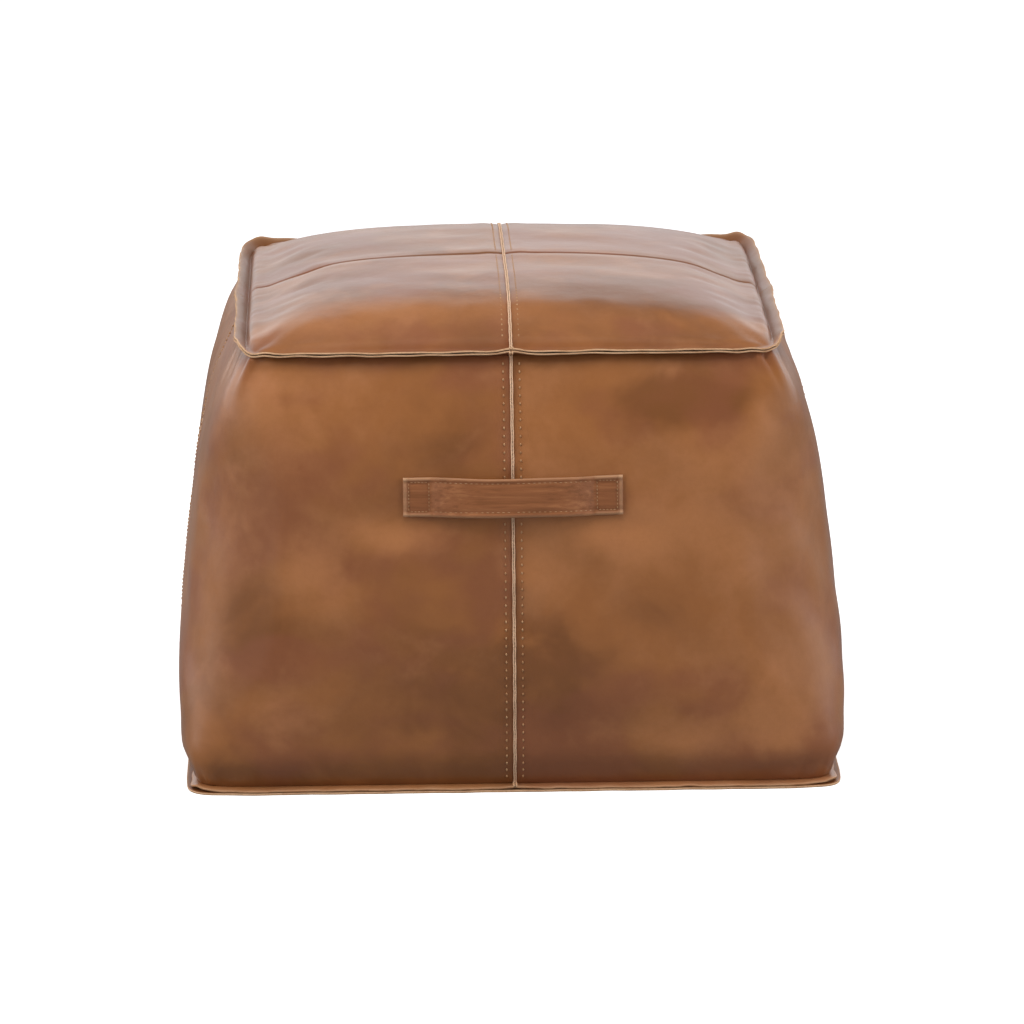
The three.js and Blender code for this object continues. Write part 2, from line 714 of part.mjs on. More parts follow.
// A cloth bag with an open mouth over the zip, through which it is filled.
function innerBag() {
  const outside = bagLevels(-BAG_THICKNESS / 2);
  const inside = bagLevels(BAG_THICKNESS / 2);
  const inwards = pillowQuads(inside, inMouth).map(([a, b, c, d]) => [a, d, c, b]);
  const quads = [...pillowQuads(outside, inMouth), ...inwards];
  const hem = (i0, j0, i1, j1) => {
    quads.push([outside[0][i1][j1], outside[0][i0][j0], inside[0][i0][j0], inside[0][i1][j1]]);
  };
  for (let i = 1; i < lastLine - 1; i++) {
    for (let j = 1; j < lastLine - 1; j++) {
      if (!inMouth(i, j)) {
        continue;
      }
      if (!inMouth(i - 1, j)) {
        hem(i, j + 1, i, j);
      }
      if (!inMouth(i + 1, j)) {
        hem(i + 1, j, i + 1, j + 1);
      }
      if (!inMouth(i, j - 1)) {
        hem(i, j, i + 1, j);
      }
      if (!inMouth(i, j + 1)) {
        hem(i + 1, j + 1, i, j + 1);
      }
    }
  }
  return solidFromQuads(quads);
}
add("inner_bag", innerBag(), bagCloth);

// A firm block fills the bag up to its shoulder, and a soft pad on it makes the crown.
const foamLevels = [
  baseLevel(FILL_GAP),
  ...wallShares.filter((t) => t > 0 && t <= padShare).map((t) => wallLevel(t, FILL_GAP)),
];
add("foam_block", solidFromQuads(pillowQuads(foamLevels)), foam);

const padFoot = level(
  wallHalf(padShare) - BAG_INSET - FILL_GAP - PAD_GAP,
  wallCorner(padShare),
  () => wallHeight(padShare) + PAD_GAP,
);
add("top_pad", solidFromQuads(pillowQuads([padFoot, crownLevel(FILL_GAP)])), wadding);

export default pouf;
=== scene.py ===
import math

import bmesh
import bpy
import numpy as np
from bpy.props import FloatProperty, FloatVectorProperty, PointerProperty
from mathutils import Matrix, Vector


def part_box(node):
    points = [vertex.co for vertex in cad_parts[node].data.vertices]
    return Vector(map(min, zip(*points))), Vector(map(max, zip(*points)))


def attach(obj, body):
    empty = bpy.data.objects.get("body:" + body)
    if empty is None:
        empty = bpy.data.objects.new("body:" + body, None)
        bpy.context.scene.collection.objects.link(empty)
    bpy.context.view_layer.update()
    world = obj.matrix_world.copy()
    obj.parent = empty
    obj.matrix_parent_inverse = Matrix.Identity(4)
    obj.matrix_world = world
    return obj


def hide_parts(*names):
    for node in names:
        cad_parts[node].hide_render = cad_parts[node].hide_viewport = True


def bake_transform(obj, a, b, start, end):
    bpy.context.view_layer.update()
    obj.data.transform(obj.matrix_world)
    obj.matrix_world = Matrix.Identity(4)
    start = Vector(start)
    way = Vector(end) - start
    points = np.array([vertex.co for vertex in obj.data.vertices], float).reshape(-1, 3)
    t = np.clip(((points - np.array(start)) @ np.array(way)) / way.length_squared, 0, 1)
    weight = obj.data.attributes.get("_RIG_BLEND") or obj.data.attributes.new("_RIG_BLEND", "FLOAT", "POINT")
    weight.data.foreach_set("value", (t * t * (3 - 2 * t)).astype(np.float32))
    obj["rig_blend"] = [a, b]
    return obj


bl_info = {
    "name": "Leather Pouf",
    "version": (1, 0, 0),
    "blender": (4, 5, 0),
    "location": "3D View > Sidebar > Pouf",
    "description": "Makes the looks of a square stuffed leather pouf round its fixed frame",
    "category": "Object",
}

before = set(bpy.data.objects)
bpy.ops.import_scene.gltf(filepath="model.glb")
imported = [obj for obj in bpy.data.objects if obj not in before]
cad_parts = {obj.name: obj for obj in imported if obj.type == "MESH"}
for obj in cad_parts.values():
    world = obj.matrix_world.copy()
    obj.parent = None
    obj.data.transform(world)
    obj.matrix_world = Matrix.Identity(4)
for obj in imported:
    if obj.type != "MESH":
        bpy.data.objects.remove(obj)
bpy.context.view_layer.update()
MM = 0.001
FACES = ("front", "right", "rear", "left")
PULL_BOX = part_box("zip_pull")
SLIDER_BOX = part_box("zip_slider")
TEETH_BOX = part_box("zip_teeth_front")
TAPE_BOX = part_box("zip_tape_front")


# ---- Settings ----------------------------------------------------------------------------------


def length(name, description, default):
    return FloatProperty(name=name, description=description, default=default, unit="LENGTH", precision=5)


def colour(name, description, default):
    return FloatVectorProperty(
        name=name, description=description, default=default, subtype="COLOR", size=4, min=0, max=1
    )


class CoverSizes(bpy.types.PropertyGroup):
    """Sizes of the leather cover."""

    hide: length("Hide", "Thickness of the leather", 1.6 * MM)
    base_half: length("Base half", "Half side of the base seam", 242 * MM)
    top_half: length("Top half", "Half side of the top seam", 201 * MM)
    base_seam: length("Base seam height", "Height of the base seam", 4.4 * MM)
    top_seam: length("Top seam height", "Height of the top seam", 331 * MM)
    bulge: length("Bulge", "Swell of the walls past a straight taper", 24.5 * MM)
    crown: length("Crown", "Rise of the top above its seam", 34 * MM)
    flange: length("Flange", "Width of the turned-out seam edges", 8.6 * MM)
    pared: length("Pared edge", "Thickness of the leather where it is pared for sewing", 1.25 * MM)
    layer_gap: length("Layer gap", "Gap between the two layers of a flange", 0.5 * MM)
    give: length("Give", "Furthest the stuffing pushes the leather from its drawn shape", 1.8 * MM)


class SeamSizes(bpy.types.PropertyGroup):
    """Sizes of the seams and stitches."""

    pitch: length("Pitch", "Distance from one stitch to the next", 6.2 * MM)
    row: length("Row", "From the seam to each row of stitches", 6.2 * MM)
    stitch: length("Stitch", "Length of one stitch", 2.5 * MM)
    thread: length("Thread", "Thickness of the thread", 1.5 * MM)
    ridge: length("Ridge", "Height of the raw edges that stand up along a seam", 1.25 * MM)
    split: length("Split", "From the seam to the middle of each raw edge", 0.68 * MM)


class HandleSizes(bpy.types.PropertyGroup):
    """Sizes of the strap handle."""

    level: length("Level", "Height of the strap's middle above the floor", 229 * MM)
    reach: length("Reach", "Half length of the strap", 83 * MM)
    height: length("Height", "Width of the strap, which stands upright", 30 * MM)
    thickness: length("Thickness", "Thickness of the folded strap", 3.2 * MM)
    sewn: length("Sewn end", "Length of each box-stitched end", 22 * MM)
    bow: length("Bow", "Gap behind the middle of the strap", 11.5 * MM)
    seat: length("Seat", "Gap under the sewn ends", 0.6 * MM)


class ZipSizes(bpy.types.PropertyGroup):
    """Sizes of the zip."""

    tooth_pitch: length("Tooth pitch", "Distance from one turn of the coil to the next", 1.9 * MM)
    mouth: length("Mouth", "Half width of the opening in the base", 5.7 * MM)


class Colours(bpy.types.PropertyGroup):
    """Colours of the finishes."""

    tan: colour("Tan", "Main colour of the hide", (0.345, 0.129, 0.040, 1))
    # Through the shade mark, amber also paints highlights on the front wall, and umber paints shade in seams
    # and grooves.
    amber: colour("Amber", "Where the hide is pulled and shows lighter", (0.50, 0.205, 0.080, 1))
    umber: colour("Umber", "Dark clouds in the hide", (0.17, 0.060, 0.018, 1))
    plum: colour("Plum", "Cooler, redder clouds", (0.265, 0.088, 0.040, 1))
    raw: colour("Raw edge", "Cut edge of the leather", (0.70, 0.43, 0.25, 1))
    rubbed: colour("Rubbed edge", "Raised edge rubbed pale along a seam", (0.80, 0.56, 0.40, 1))
    thread: colour("Thread", "Waxed thread", (0.55, 0.32, 0.165, 1))
    tape: colour("Tape", "Tapes and zip cloth", (0.045, 0.028, 0.019, 1))
    brass: colour("Brass", "Zip metal", (0.36, 0.25, 0.12, 1))
    cotton: colour("Cotton", "Inner bag", (0.66, 0.60, 0.48, 1))
    foam: colour("Foam", "Foam block", (0.74, 0.66, 0.42, 1))


def cover():
    return bpy.context.scene.pouf_cover


def seams():
    return bpy.context.scene.pouf_seams


# ---- Materials ---------------------------------------------------------------------------------


class Value:
    """A socket that carries a number. Arithmetic on it adds Math nodes to its material."""

    def __init__(self, paint, socket):
        self.paint = paint
        self.socket = socket

    def __add__(self, other):
        return self.paint.math("ADD", self, other)

    __radd__ = __add__

    def __sub__(self, other):
        return self.paint.math("SUBTRACT", self, other)

    def __rsub__(self, other):
        return self.paint.math("SUBTRACT", other, self)

    def __mul__(self, other):
        return self.paint.math("MULTIPLY", self, other)

    __rmul__ = __mul__


class Paint:
    """The nodes of one material, or of the world, and the few ways of adding to them."""

    def __init__(self, name, blocks=None):
        self.owner = (bpy.data.materials if blocks is None else blocks).new(name)
        self.owner.use_nodes = True
        self.tree = self.owner.node_tree
        self.tree.nodes.clear()
        self.coordinates = self.node("ShaderNodeTexCoord").outputs
        self.place = self.coordinates["Object"]

    def node(self, kind, settings=None, inputs=None):
        made = self.tree.nodes.new(kind)
        for key, value in (settings or {}).items():
            setattr(made, key, value)
        for key, value in (inputs or {}).items():
            source = value.socket if isinstance(value, Value) else value
            if isinstance(source, bpy.types.NodeSocket):
                self.tree.links.new(source, made.inputs[key])
            else:
                made.inputs[key].default_value = source
        return made

    def math(self, operation, first, second):
        made = self.node("ShaderNodeMath", {"operation": operation}, {0: first, 1: second})
        return Value(self, made.outputs[0])

    def attribute(self, name):
        made = self.node("ShaderNodeAttribute", {"attribute_name": name})
        return Value(self, made.outputs["Fac"])

    def vector_math(self, operation, first, second):
        return self.node("ShaderNodeVectorMath", {"operation": operation}, {0: first, 1: second}).outputs[0]

    def stretched(self, scale, shift=None):
        """Object coordinates scaled by three numbers, and shifted by a number times a fixed step."""
        vector = self.vector_math("MULTIPLY", self.place, scale)
        if shift is None:
            return vector
        steps = {0: shift * 3.7, 1: shift * 5.3, 2: shift * 2.9}
        return self.vector_math("ADD", vector, self.node("ShaderNodeCombineXYZ", None, steps).outputs[0])

    def noise(self, scale, detail=2.0, roughness=0.5, vector=None, distortion=0.0):
        inputs = {"Vector": vector or self.place, "Scale": scale, "Detail": detail}
        inputs.update({"Roughness": roughness, "Distortion": distortion})
        return Value(self, self.node("ShaderNodeTexNoise", None, inputs).outputs[0])

    def cells(self, scale, vector=None):
        made = self.node(
            "ShaderNodeTexVoronoi",
            {"feature": "SMOOTH_F1"},
            {"Vector": vector or self.place, "Scale": scale, "Smoothness": 0.35},
        )
        return Value(self, made.outputs["Distance"])

    def between(self, value, low, high, out_low=0.0, out_high=1.0):
        """A smooth step of value from low to high, between two results."""
        made = self.node(
            "ShaderNodeMapRange",
            {"interpolation_type": "SMOOTHSTEP"},
            {"Value": value, "From Min": low, "From Max": high, "To Min": out_low, "To Max": out_high},
        )
        return Value(self, made.outputs[0])

    def mix(self, factor, first, second):
        colours = {0: factor, 6: first, 7: second}
        return self.node("ShaderNodeMix", {"data_type": "RGBA"}, colours).outputs[2]

    def bump(self, height, strength, distance, normal=None):
        inputs = {"Height": height, "Strength": strength, "Distance": distance}
        if normal is not None:
            inputs["Normal"] = normal
        return self.node("ShaderNodeBump", None, inputs).outputs[0]

    def surface(self, **sockets):
        inputs = {key.replace("_", " "): value for key, value in sockets.items()}
        shader = self.node("ShaderNodeBsdfPrincipled", None, inputs)
        self.node("ShaderNodeOutputMaterial", None, {"Surface": shader.outputs[0]})
        return self.owner


def leather_material(name, depth=1.0, grain=1.0, gloss=0.0):
    """Pull-up hide: clouded colour, paler where it is pulled or worn, with a fine pebbled grain. Its shade
    mark also carries painted shade and painted highlights.
    """
    tones = bpy.context.scene.pouf_colours
    paint = Paint(name)
    hide = paint.attribute("hide")
    shade = paint.attribute("shade")
    wear = paint.attribute("wear")
    here = paint.stretched((1, 1, 1), hide)
    clouds = paint.noise(6.5, 3, 0.5, here, 0.6)
    patches = paint.noise(17, 3, 0.55, here, 0.5)
    mottle = paint.noise(85, 4, 0.6, here)
    # The shade mark darkens towards umber, which includes painted shade, and pales towards amber, which
    # includes painted highlights.
    dark = paint.between(clouds * 0.42 + patches * 0.58 - shade * 0.24, 0.38, 0.60)
    light = paint.between(patches * 0.62 + mottle * 0.15 + shade * 0.28, 0.36, 0.66)
    cool = paint.between(paint.noise(12, 2, 0.5, paint.stretched((1, 1, 1.4), hide * 1.7)), 0.44, 0.62)
    colour = paint.mix(dark * 0.70 * depth, tones.tan, tones.umber)
    colour = paint.mix(cool * 0.62, colour, tones.plum)
    colour = paint.mix(light * 0.65, colour, tones.amber)
    veins = paint.between(paint.noise(240, 5, 0.65, here), 0.35, 0.7)
    colour = paint.mix(veins * 0.07, colour, tones.umber)
    colour = paint.mix(wear * 0.85, colour, tones.raw)
    streaks = paint.noise(60, 3, 0.6, paint.stretched((0.25, 0.25, 1.6), hide), 0.8)
    pebbles = paint.cells(1150, here)
    pores = paint.between(paint.noise(1900, 2, 0.5, here), 0.30, 0.45)
    rough = 0.25 - gloss + patches * 0.09 + mottle * 0.05 + wear * 0.24
    soft = paint.bump(paint.noise(34, 3, 0.5, here), 0.16 * grain, 0.004)
    creases = paint.bump(streaks, 0.10 * grain, 0.0012, soft)
    fine = paint.bump(pebbles * 0.6 + pores * 0.4, 0.13 * grain, 0.0004, creases)
    return paint.surface(Base_Color=colour, Roughness=rough, IOR=1.5, Normal=fine)


def strap_material(name):
    """Folded strap leather, a little darker, with creases along its length."""
    tones = bpy.context.scene.pouf_colours
    paint = Paint(name)
    wear = paint.attribute("wear")
    clouds = paint.noise(28, 3, 0.55)
    creases = paint.noise(330, 3, 0.6, paint.stretched((0.05, 1, 1)), 0.3)
    fine = paint.noise(700, 4, 0.65, paint.stretched((0.2, 1, 1)))
    colour = paint.mix(paint.between(clouds, 0.35, 0.65) * 0.35, tones.tan, tones.umber)
    colour = paint.mix(0.45, colour, tones.plum)
    # The strap's colour follows its crease relief: paler on the crests, and darker in the hollows, which is
    # painted shade.
    colour = paint.mix(paint.between(creases, 0.50, 0.66) * 0.38, colour, tones.amber)
    colour = paint.mix(paint.between(creases, 0.47, 0.36) * 0.45, colour, tones.umber)
    colour = paint.mix(wear * 0.8, colour, tones.raw)
    lines = paint.bump(creases * 0.7 + fine * 0.3, 0.35, 0.0010)
    grain = paint.bump(paint.cells(1150), 0.12, 0.0004, lines)
    rough = 0.40 + clouds * 0.12 + wear * 0.15
    return paint.surface(Base_Color=colour, Roughness=rough, IOR=1.48, Normal=grain)


def raw_edge_material(name, rubbed=0.0):
    """Cut edge of vegetable-dyed leather: paler, matt, fibrous, darker in places."""
    tones = bpy.context.scene.pouf_colours
    paint = Paint(name)
    fibres = paint.noise(900, 4, 0.7, paint.stretched((0.5, 0.5, 1.2)))
    stains = paint.noise(70, 3, 0.6)
    # Cut edges are mixed towards tan where they are marked darker at the base.
    aged = paint.between(paint.attribute("aged"), 0, 1)
    colour = paint.mix(paint.between(stains, 0.42, 0.68) * 0.30 + aged * 0.45, tones.raw, tones.tan)
    colour = paint.mix(paint.between(fibres, 0.52, 0.68) * 0.35, colour, tones.umber)
    colour = paint.mix(rubbed, colour, tones.rubbed)
    return paint.surface(
        Base_Color=colour,
        Roughness=0.72 + stains * 0.15,
        IOR=1.4,
        Normal=paint.bump(fibres, 0.4, 0.0005),
    )


def thread_material(name):
    """Waxed thread: twisted strands with a low sheen."""
    tones = bpy.context.scene.pouf_colours
    paint = Paint(name)
    strands = paint.noise(2600, 2, 0.5)
    age = paint.noise(45, 2, 0.5)
    colour = paint.mix(paint.between(age, 0.4, 0.65) * 0.45, tones.thread, tones.tan)
    colour = paint.mix(paint.between(strands, 0.5, 0.62) * 0.4, colour, tones.umber)
    return paint.surface(
        Base_Color=colour, Roughness=0.58 + age * 0.1, IOR=1.45, Normal=paint.bump(strands, 0.4, 0.0003)
    )


def woven_material(name, tone, contrast, pitch=0.0009):
    """Plain weave: two sets of threads over and under each other."""
    paint = Paint(name)
    step = math.tau / pitch
    sides = paint.node("ShaderNodeSeparateXYZ", None, {0: paint.place})
    x, y, z = [Value(paint, sides.outputs[k]) for k in range(3)]
    warp = paint.math("SINE", (x + z * 0.37) * step, 0.0)
    weft = paint.math("SINE", (y - z * 0.61) * step, 0.0)
    weave = paint.between(warp * weft, -0.8, 0.8)
    slub = paint.noise(130, 3, 0.6)
    dark = tuple(c * contrast for c in tone[:3]) + (1,)
    colour = paint.mix(weave * 0.6, dark, tuple(tone))
    colour = paint.mix(paint.between(slub, 0.35, 0.7) * 0.35, colour, dark)
    return paint.surface(
        Base_Color=colour,
        Roughness=0.86 + slub * 0.08,
        IOR=1.4,
        Normal=paint.bump(weave * 0.8 + slub * 0.2, 0.45, 0.0004),
    )


def coil_material(name):
    """Nylon coil with a soft shine, dusty between its turns."""
    tones = bpy.context.scene.pouf_colours
    paint = Paint(name)
    dust = paint.noise(320, 4, 0.6)
    base = tuple(c * 1.5 for c in tones.tape[:3]) + (1,)
    colour = paint.mix(paint.between(dust, 0.5, 0.75) * 0.5, base, (0.16, 0.12, 0.09, 1))
    return paint.surface(
        Base_Color=colour, Roughness=0.34 + dust * 0.16, IOR=1.53, Normal=paint.bump(dust, 0.08, 0.0003)
    )


def brass_material(name):
    """Antique brass: dark in the hollows, rubbed bright in patches."""
    tones = bpy.context.scene.pouf_colours
    paint = Paint(name)
    patina = paint.noise(260, 4, 0.6)
    scratches = paint.noise(900, 3, 0.6, paint.stretched((0.15, 1, 1)))
    colour = paint.mix(paint.between(patina, 0.42, 0.62) * 0.75, tones.brass, (0.07, 0.045, 0.022, 1))
    return paint.surface(
        Base_Color=colour,
        Metallic=1.0,
        Roughness=0.26 + patina * 0.22 + scratches * 0.06,
        Normal=paint.bump(scratches, 0.12, 0.0003),
    )


def foam_material(name):
    """Open-cell foam with fine pores."""
    tones = bpy.context.scene.pouf_colours
    paint = Paint(name)
    pores = paint.cells(700)
    age = paint.noise(14, 3, 0.5)
    colour = paint.mix(paint.between(pores, 0.30, 0.55) * 0.4, tones.foam, (0.42, 0.34, 0.18, 1))
    colour = paint.mix(age * 0.25, colour, (0.62, 0.48, 0.24, 1))
    return paint.surface(Base_Color=colour, Roughness=0.94, IOR=1.4, Normal=paint.bump(pores, 0.6, 0.001))


def wadding_material(name):
    """Fibre wadding: white, tangled, uneven."""
    paint = Paint(name)
    tangle = paint.noise(420, 5, 0.75, None, 1.5)
    tufts = paint.noise(55, 3, 0.5)
    colour = paint.mix(paint.between(tangle, 0.4, 0.65) * 0.35, (0.86, 0.85, 0.82, 1), (0.60, 0.59, 0.55, 1))
    soft = paint.bump(tufts, 0.5, 0.006)
    return paint.surface(
        Base_Color=colour, Roughness=0.97, IOR=1.35, Normal=paint.bump(tangle, 0.6, 0.0012, soft)
    )


MAKERS = {
    "Hide": lambda name: leather_material(name),
    "Base hide": lambda name: leather_material(name, 0.9, 1.3, -0.08),
    "Strap leather": strap_material,
    "Raw edge": raw_edge_material,
    "Rubbed edge": lambda name: raw_edge_material(name, 0.55),
    "Thread": thread_material,
    "Seam tape": lambda name: woven_material(name, bpy.context.scene.pouf_colours.tape, 0.5),
    "Zip tape": lambda name: woven_material(name, bpy.context.scene.pouf_colours.tape, 0.45, 0.0007),
    "Bag cotton": lambda name: woven_material(name, bpy.context.scene.pouf_colours.cotton, 0.75, 0.0008),
    "Nylon coil": coil_material,
    "Antique brass": brass_material,
    "Foam": foam_material,
    "Wadding": wadding_material,
}


def finish_of(name):
    return bpy.data.materials.get(name) or MAKERS[name](name)


# ---- Shape of the cover ------------------------------------------------------------------------

# Powers: a higher one keeps a wall or the top flat for longer, or makes a corner squarer.
BULGE_POWER = 3.6
CROWN_ACROSS = 2.9
CROWN_ALONG = 4.7
CROWN_EDGE = 0.62
CORNER_AT_SEAM = 24
CORNER_AT_MIDDLE = 6.3
WALL_LENGTH = 0.345  # up the curve of the wall from seam to seam


def mix(a, b, t):
    return a + (b - a) * t


def hump(distance, width):
    """1 at no distance, dying away over the width."""
    return np.exp(-((distance / width) ** 2))


def swell(t):
    return 1 - np.abs(2 * t - 1) ** BULGE_POWER


def wall_half(t):
    return mix(cover().base_half, cover().top_half, t) + cover().bulge * swell(t)


def plan_point(p, q, half, corner):
    """The point (p, q) of a square of half side 1, moved in onto a rounded square and scaled."""
    ring = np.maximum(np.maximum(np.abs(p), np.abs(q)), 1e-9)
    total = np.abs(p / ring) ** corner + np.abs(q / ring) ** corner
    rounded = np.maximum(total, 1) ** (-1 / corner)
    return p * half * rounded, q * half * rounded


def square_point(a):
    """Where a place round the pouf lies on a square. 0, 2, 4, 6 are the middles of the faces."""
    a = (a + 1) % 8 - 1
    return np.clip(2 - np.abs(a - 2), -1, 1), np.clip(2 - np.abs(a - 4), -1, 1)


def waves(a, turns, seed):
    """Gentle irregular waves round the pouf, about -1 to 1, at the given turns per round."""
    phases = np.random.default_rng(seed).uniform(0, math.tau, len(turns))
    total = sum(np.sin(math.tau * k * a / 8 + phase) for k, phase in zip(turns, phases))
    return total / len(turns) ** 0.5 / 1.2


def from_front(a):
    """How far round from the middle of the front, from -4 to 4."""
    return (a + 4) % 8 - 4


def wall_height(t):
    return mix(cover().base_seam, cover().top_seam, t)


def inward(p, q):
    """How far in from the edge of the top, as a share of its half side."""
    return 1 - np.maximum(np.abs(p), np.abs(q))


def spots(x, z, table):
    """The sum of a table's soft spots at places on the front wall."""
    return sum(
        amount * hump(x - across * MM, wide * MM) * hump(z - up * MM, tall * MM)
        for across, up, wide, tall, amount in table
    )


def from_middle(a, half):
    """Distance from the nearest face middle, in metres."""
    return np.abs((a + 1) % 2 - 1) * half


def from_corner(a, half):
    """Distance from the nearest corner, in metres."""
    return np.abs(a % 2 - 1) * half


# How far the stuffing pushes the wall and the crown, as grids of vectors once it has run.
GIVE = {}


def cubic_taps(x):
    """Four weights of a smoothing cubic at the fraction x past its second tap."""
    return [
        (1 - x) ** 3 / 6,
        (3 * x**3 - 6 * x**2 + 4) / 6,
        (-3 * x**3 + 3 * x**2 + 3 * x + 1) / 6,
        x**3 / 6,
    ]


def smooth_sample(field, rows, columns, wraps):
    """A smooth reading of a grid of vectors at fractional rows and columns."""
    count = field.shape[1]
    row = np.floor(rows).astype(int)
    column = np.floor(columns).astype(int)
    row_taps = cubic_taps(rows - row)
    column_taps = cubic_taps(columns - column)
    total = np.zeros(rows.shape + (3,))
    for i in range(4):
        r = np.clip(row + i - 1, 0, field.shape[0] - 1)
        for j in range(4):
            c = (column + j - 1) % count if wraps else np.clip(column + j - 1, 0, count - 1)
            total += field[r, c] * (row_taps[i] * column_taps[j])[..., None]
    return total


def drawn_wall(a, t):
    """The wall's middle surface as drawn, before the stuffing pushes it."""
    p, q = square_point(a)
    corner = mix(CORNER_AT_SEAM, CORNER_AT_MIDDLE, swell(t))
    x, y = plan_point(p, q, wall_half(t), corner)
    return np.stack([x, y, wall_height(t)], -1)


def drawn_crown(p, q):
    """The top's middle surface as drawn."""
    x, y = plan_point(p, q, cover().top_half, CORNER_AT_SEAM)
    ring = np.maximum(np.abs(p), np.abs(q)) ** 9
    x, y = mix(p * cover().top_half, x, ring), mix(q * cover().top_half, y, ring)
    lift = np.clip((1 - np.abs(p) ** CROWN_ACROSS) * (1 - np.abs(q) ** CROWN_ALONG), 0, 1)
    z = cover().top_seam + cover().crown * lift**CROWN_EDGE
    return np.stack([x, y, z], -1)


def normals_of(surface, u, v):
    """Outward normals of a surface given as a function of two numbers."""
    step = 0.002
    along = surface(u + step, v) - surface(u - step, v)
    up = surface(u, v + step) - surface(u, v - step)
    return unit(np.cross(along, up))


def crown_normals(p, q):
    """Outward normals of the top, read just inside its edge."""
    inside = 1 - 3e-3
    return normals_of(drawn_crown, np.clip(p, -inside, inside), np.clip(q, -inside, inside))


# Where the sewing or the filling shapes the front wall: across, up (mm from the middle and the
# floor), reach across, reach up and depth out of the wall in mm.
FRONT_DENTS = (
    (-92, 207, 26, 14, -1.3),
    (-62, 193, 34, 12, 1.0),
    (92, 205, 26, 13, -1.3),
    (66, 193, 30, 12, 0.9),
    (-100, 229, 14, 22, -0.8),
    (100, 229, 14, 22, -0.8),
    (-186, 300, 16, 22, 1.2),
    (-150, 120, 70, 60, 1.3),
    (140, 90, 60, 70, -1.0),
    (150, 250, 60, 40, 1.0),
    (-60, 60, 60, 50, -0.9),
)

# Pleats that hang from the top seam: place round the pouf, depth, width and length in mm.
PLEATS = (
    (0.84, -0.7, 6, 18),
    (0.895, -1.6, 4, 22),
    (0.925, 1.7, 4, 27),
    (0.955, -2.0, 4, 24),
    (0.990, 1.5, 5, 28),
    (-0.93, -1.3, 5, 26),
    (-0.985, 1.0, 5, 30),
    (-1.05, -1.1, 5, 34),
    (2.95, -1.3, 4, 34),
    (3.04, 1.2, 5, 30),
    (4.96, -1.4, 4, 36),
    (5.05, 1.1, 5, 26),
)


def wall_relief(a, t):
    """How far the sewing, the pleats and the filling move the wall out, in metres."""
    half = wall_half(t)
    middle = from_middle(a, half)
    corner = from_corner(a, half)
    below_top = (1 - t) * WALL_LENGTH
    above_base = t * WALL_LENGTH
    out = -1.0 * MM * hump(middle, 3.2 * MM) + 0.55 * MM * hump(middle - 13 * MM, 6 * MM)
    near_corner = 0.25 + hump(corner, 45 * MM)
    fine = waves(a, (89, 113, 151), 3) * (0.6 + 0.4 * waves(a, (5, 9), 4))
    out += 0.75 * MM * fine * near_corner * hump(below_top, 16 * MM)
    out += 0.85 * MM * waves(a, (71, 97, 127), 5) * near_corner * hump(above_base, 18 * MM)
    out += 0.7 * MM * waves(a, (11, 17, 29), 6) * hump(below_top - 40 * MM, 40 * MM)
    out += 0.8 * MM * waves(a + 1.7 * t, (9, 14, 23), 7) * np.sin(np.pi * t)
    for place, depth, width, drop in PLEATS:
        side = from_front(a - place) * half + 0.10 * below_top * np.sign(place % 2 - 1)
        fade = hump(below_top, drop * MM) * np.clip(below_top / (3 * MM), 0, 1)
        out += depth * MM * hump(side, width * MM * (1 + below_top / 0.04)) * fade
    out += 3.0 * MM * hump(above_base - 24 * MM, 16 * MM)
    out += MM * spots(from_front(a) * half, wall_height(t), FRONT_DENTS)
    return out * np.clip(np.minimum(below_top, above_base) / (5 * MM), 0, 1)


def held_by_handle(a, t, reach):
    """1 where the strap's sewn ends hold the leather flat, dying away over a distance beside them."""
    x = np.abs(from_front(a) * wall_half(t))
    end = handle().reach - handle().sewn / 2
    beside = np.maximum(np.abs(x - end) - handle().sewn / 2 - 3 * MM, 0)
    above = np.maximum(np.abs(wall_height(t) - handle().level) - handle().height / 2 - 2 * MM, 0)
    return hump(beside, reach) * hump(above, reach)


def wall(a, t):
    """The wall's middle surface as it ends up, with the give of the stuffing and its relief."""
    points = drawn_wall(a, t)
    if "wall" in GIVE:
        rows, columns = GIVE["wall"].shape[:2]
        where = (a % 8) / 8 * columns
        free = np.clip(np.minimum(t, 1 - t) * WALL_LENGTH / (16 * MM), 0, 1)
        free = free * (1 - held_by_handle(a, t, 22 * MM))
        points = points + smooth_sample(GIVE["wall"], t * (rows - 1), where, True) * free[..., None]
    outward = normals_of(drawn_wall, a, np.clip(t, 0.004, 0.996))
    relief = wall_relief(a, t)
    relief = relief - held_by_handle(a, t, 8 * MM) * np.maximum(relief + 0.25 * MM, 0)
    return points + outward * relief[..., None]


def crown_relief(p, q):
    """How far the seams and the filling move the top out, in metres."""
    half = cover().top_half
    across = np.abs(p) * half
    along = np.abs(q) * half
    edge = inward(p, q) * half
    out = -0.6 * MM * hump(across, 3.0 * MM) + 0.5 * MM * hump(across - 13 * MM, 6 * MM)
    out += 3.0 * MM * away_from_front(p, q) * hump(edge - 7 * MM, 6 * MM)
    out += -0.9 * MM * hump(along, 1.9 * MM) + 0.3 * MM * hump(along - 12 * MM, 6 * MM)
    out += 0.65 * MM * np.sin(q * 14 + 1.5 * p + 0.8) * np.cos(p * 4.1 - 0.6) * (1 - np.abs(q))
    out += 0.3 * MM * np.sin(q * 27 + 3.1 * p) * np.cos(p * 6.3 + 1.1) * (1 - p * p)
    around = np.arctan2(q, p) / math.tau * 8
    out += 0.3 * MM * waves(around, (61, 83, 107), 9) * hump(edge, 14 * MM)
    return out * np.clip(edge / (4 * MM), 0, 1)


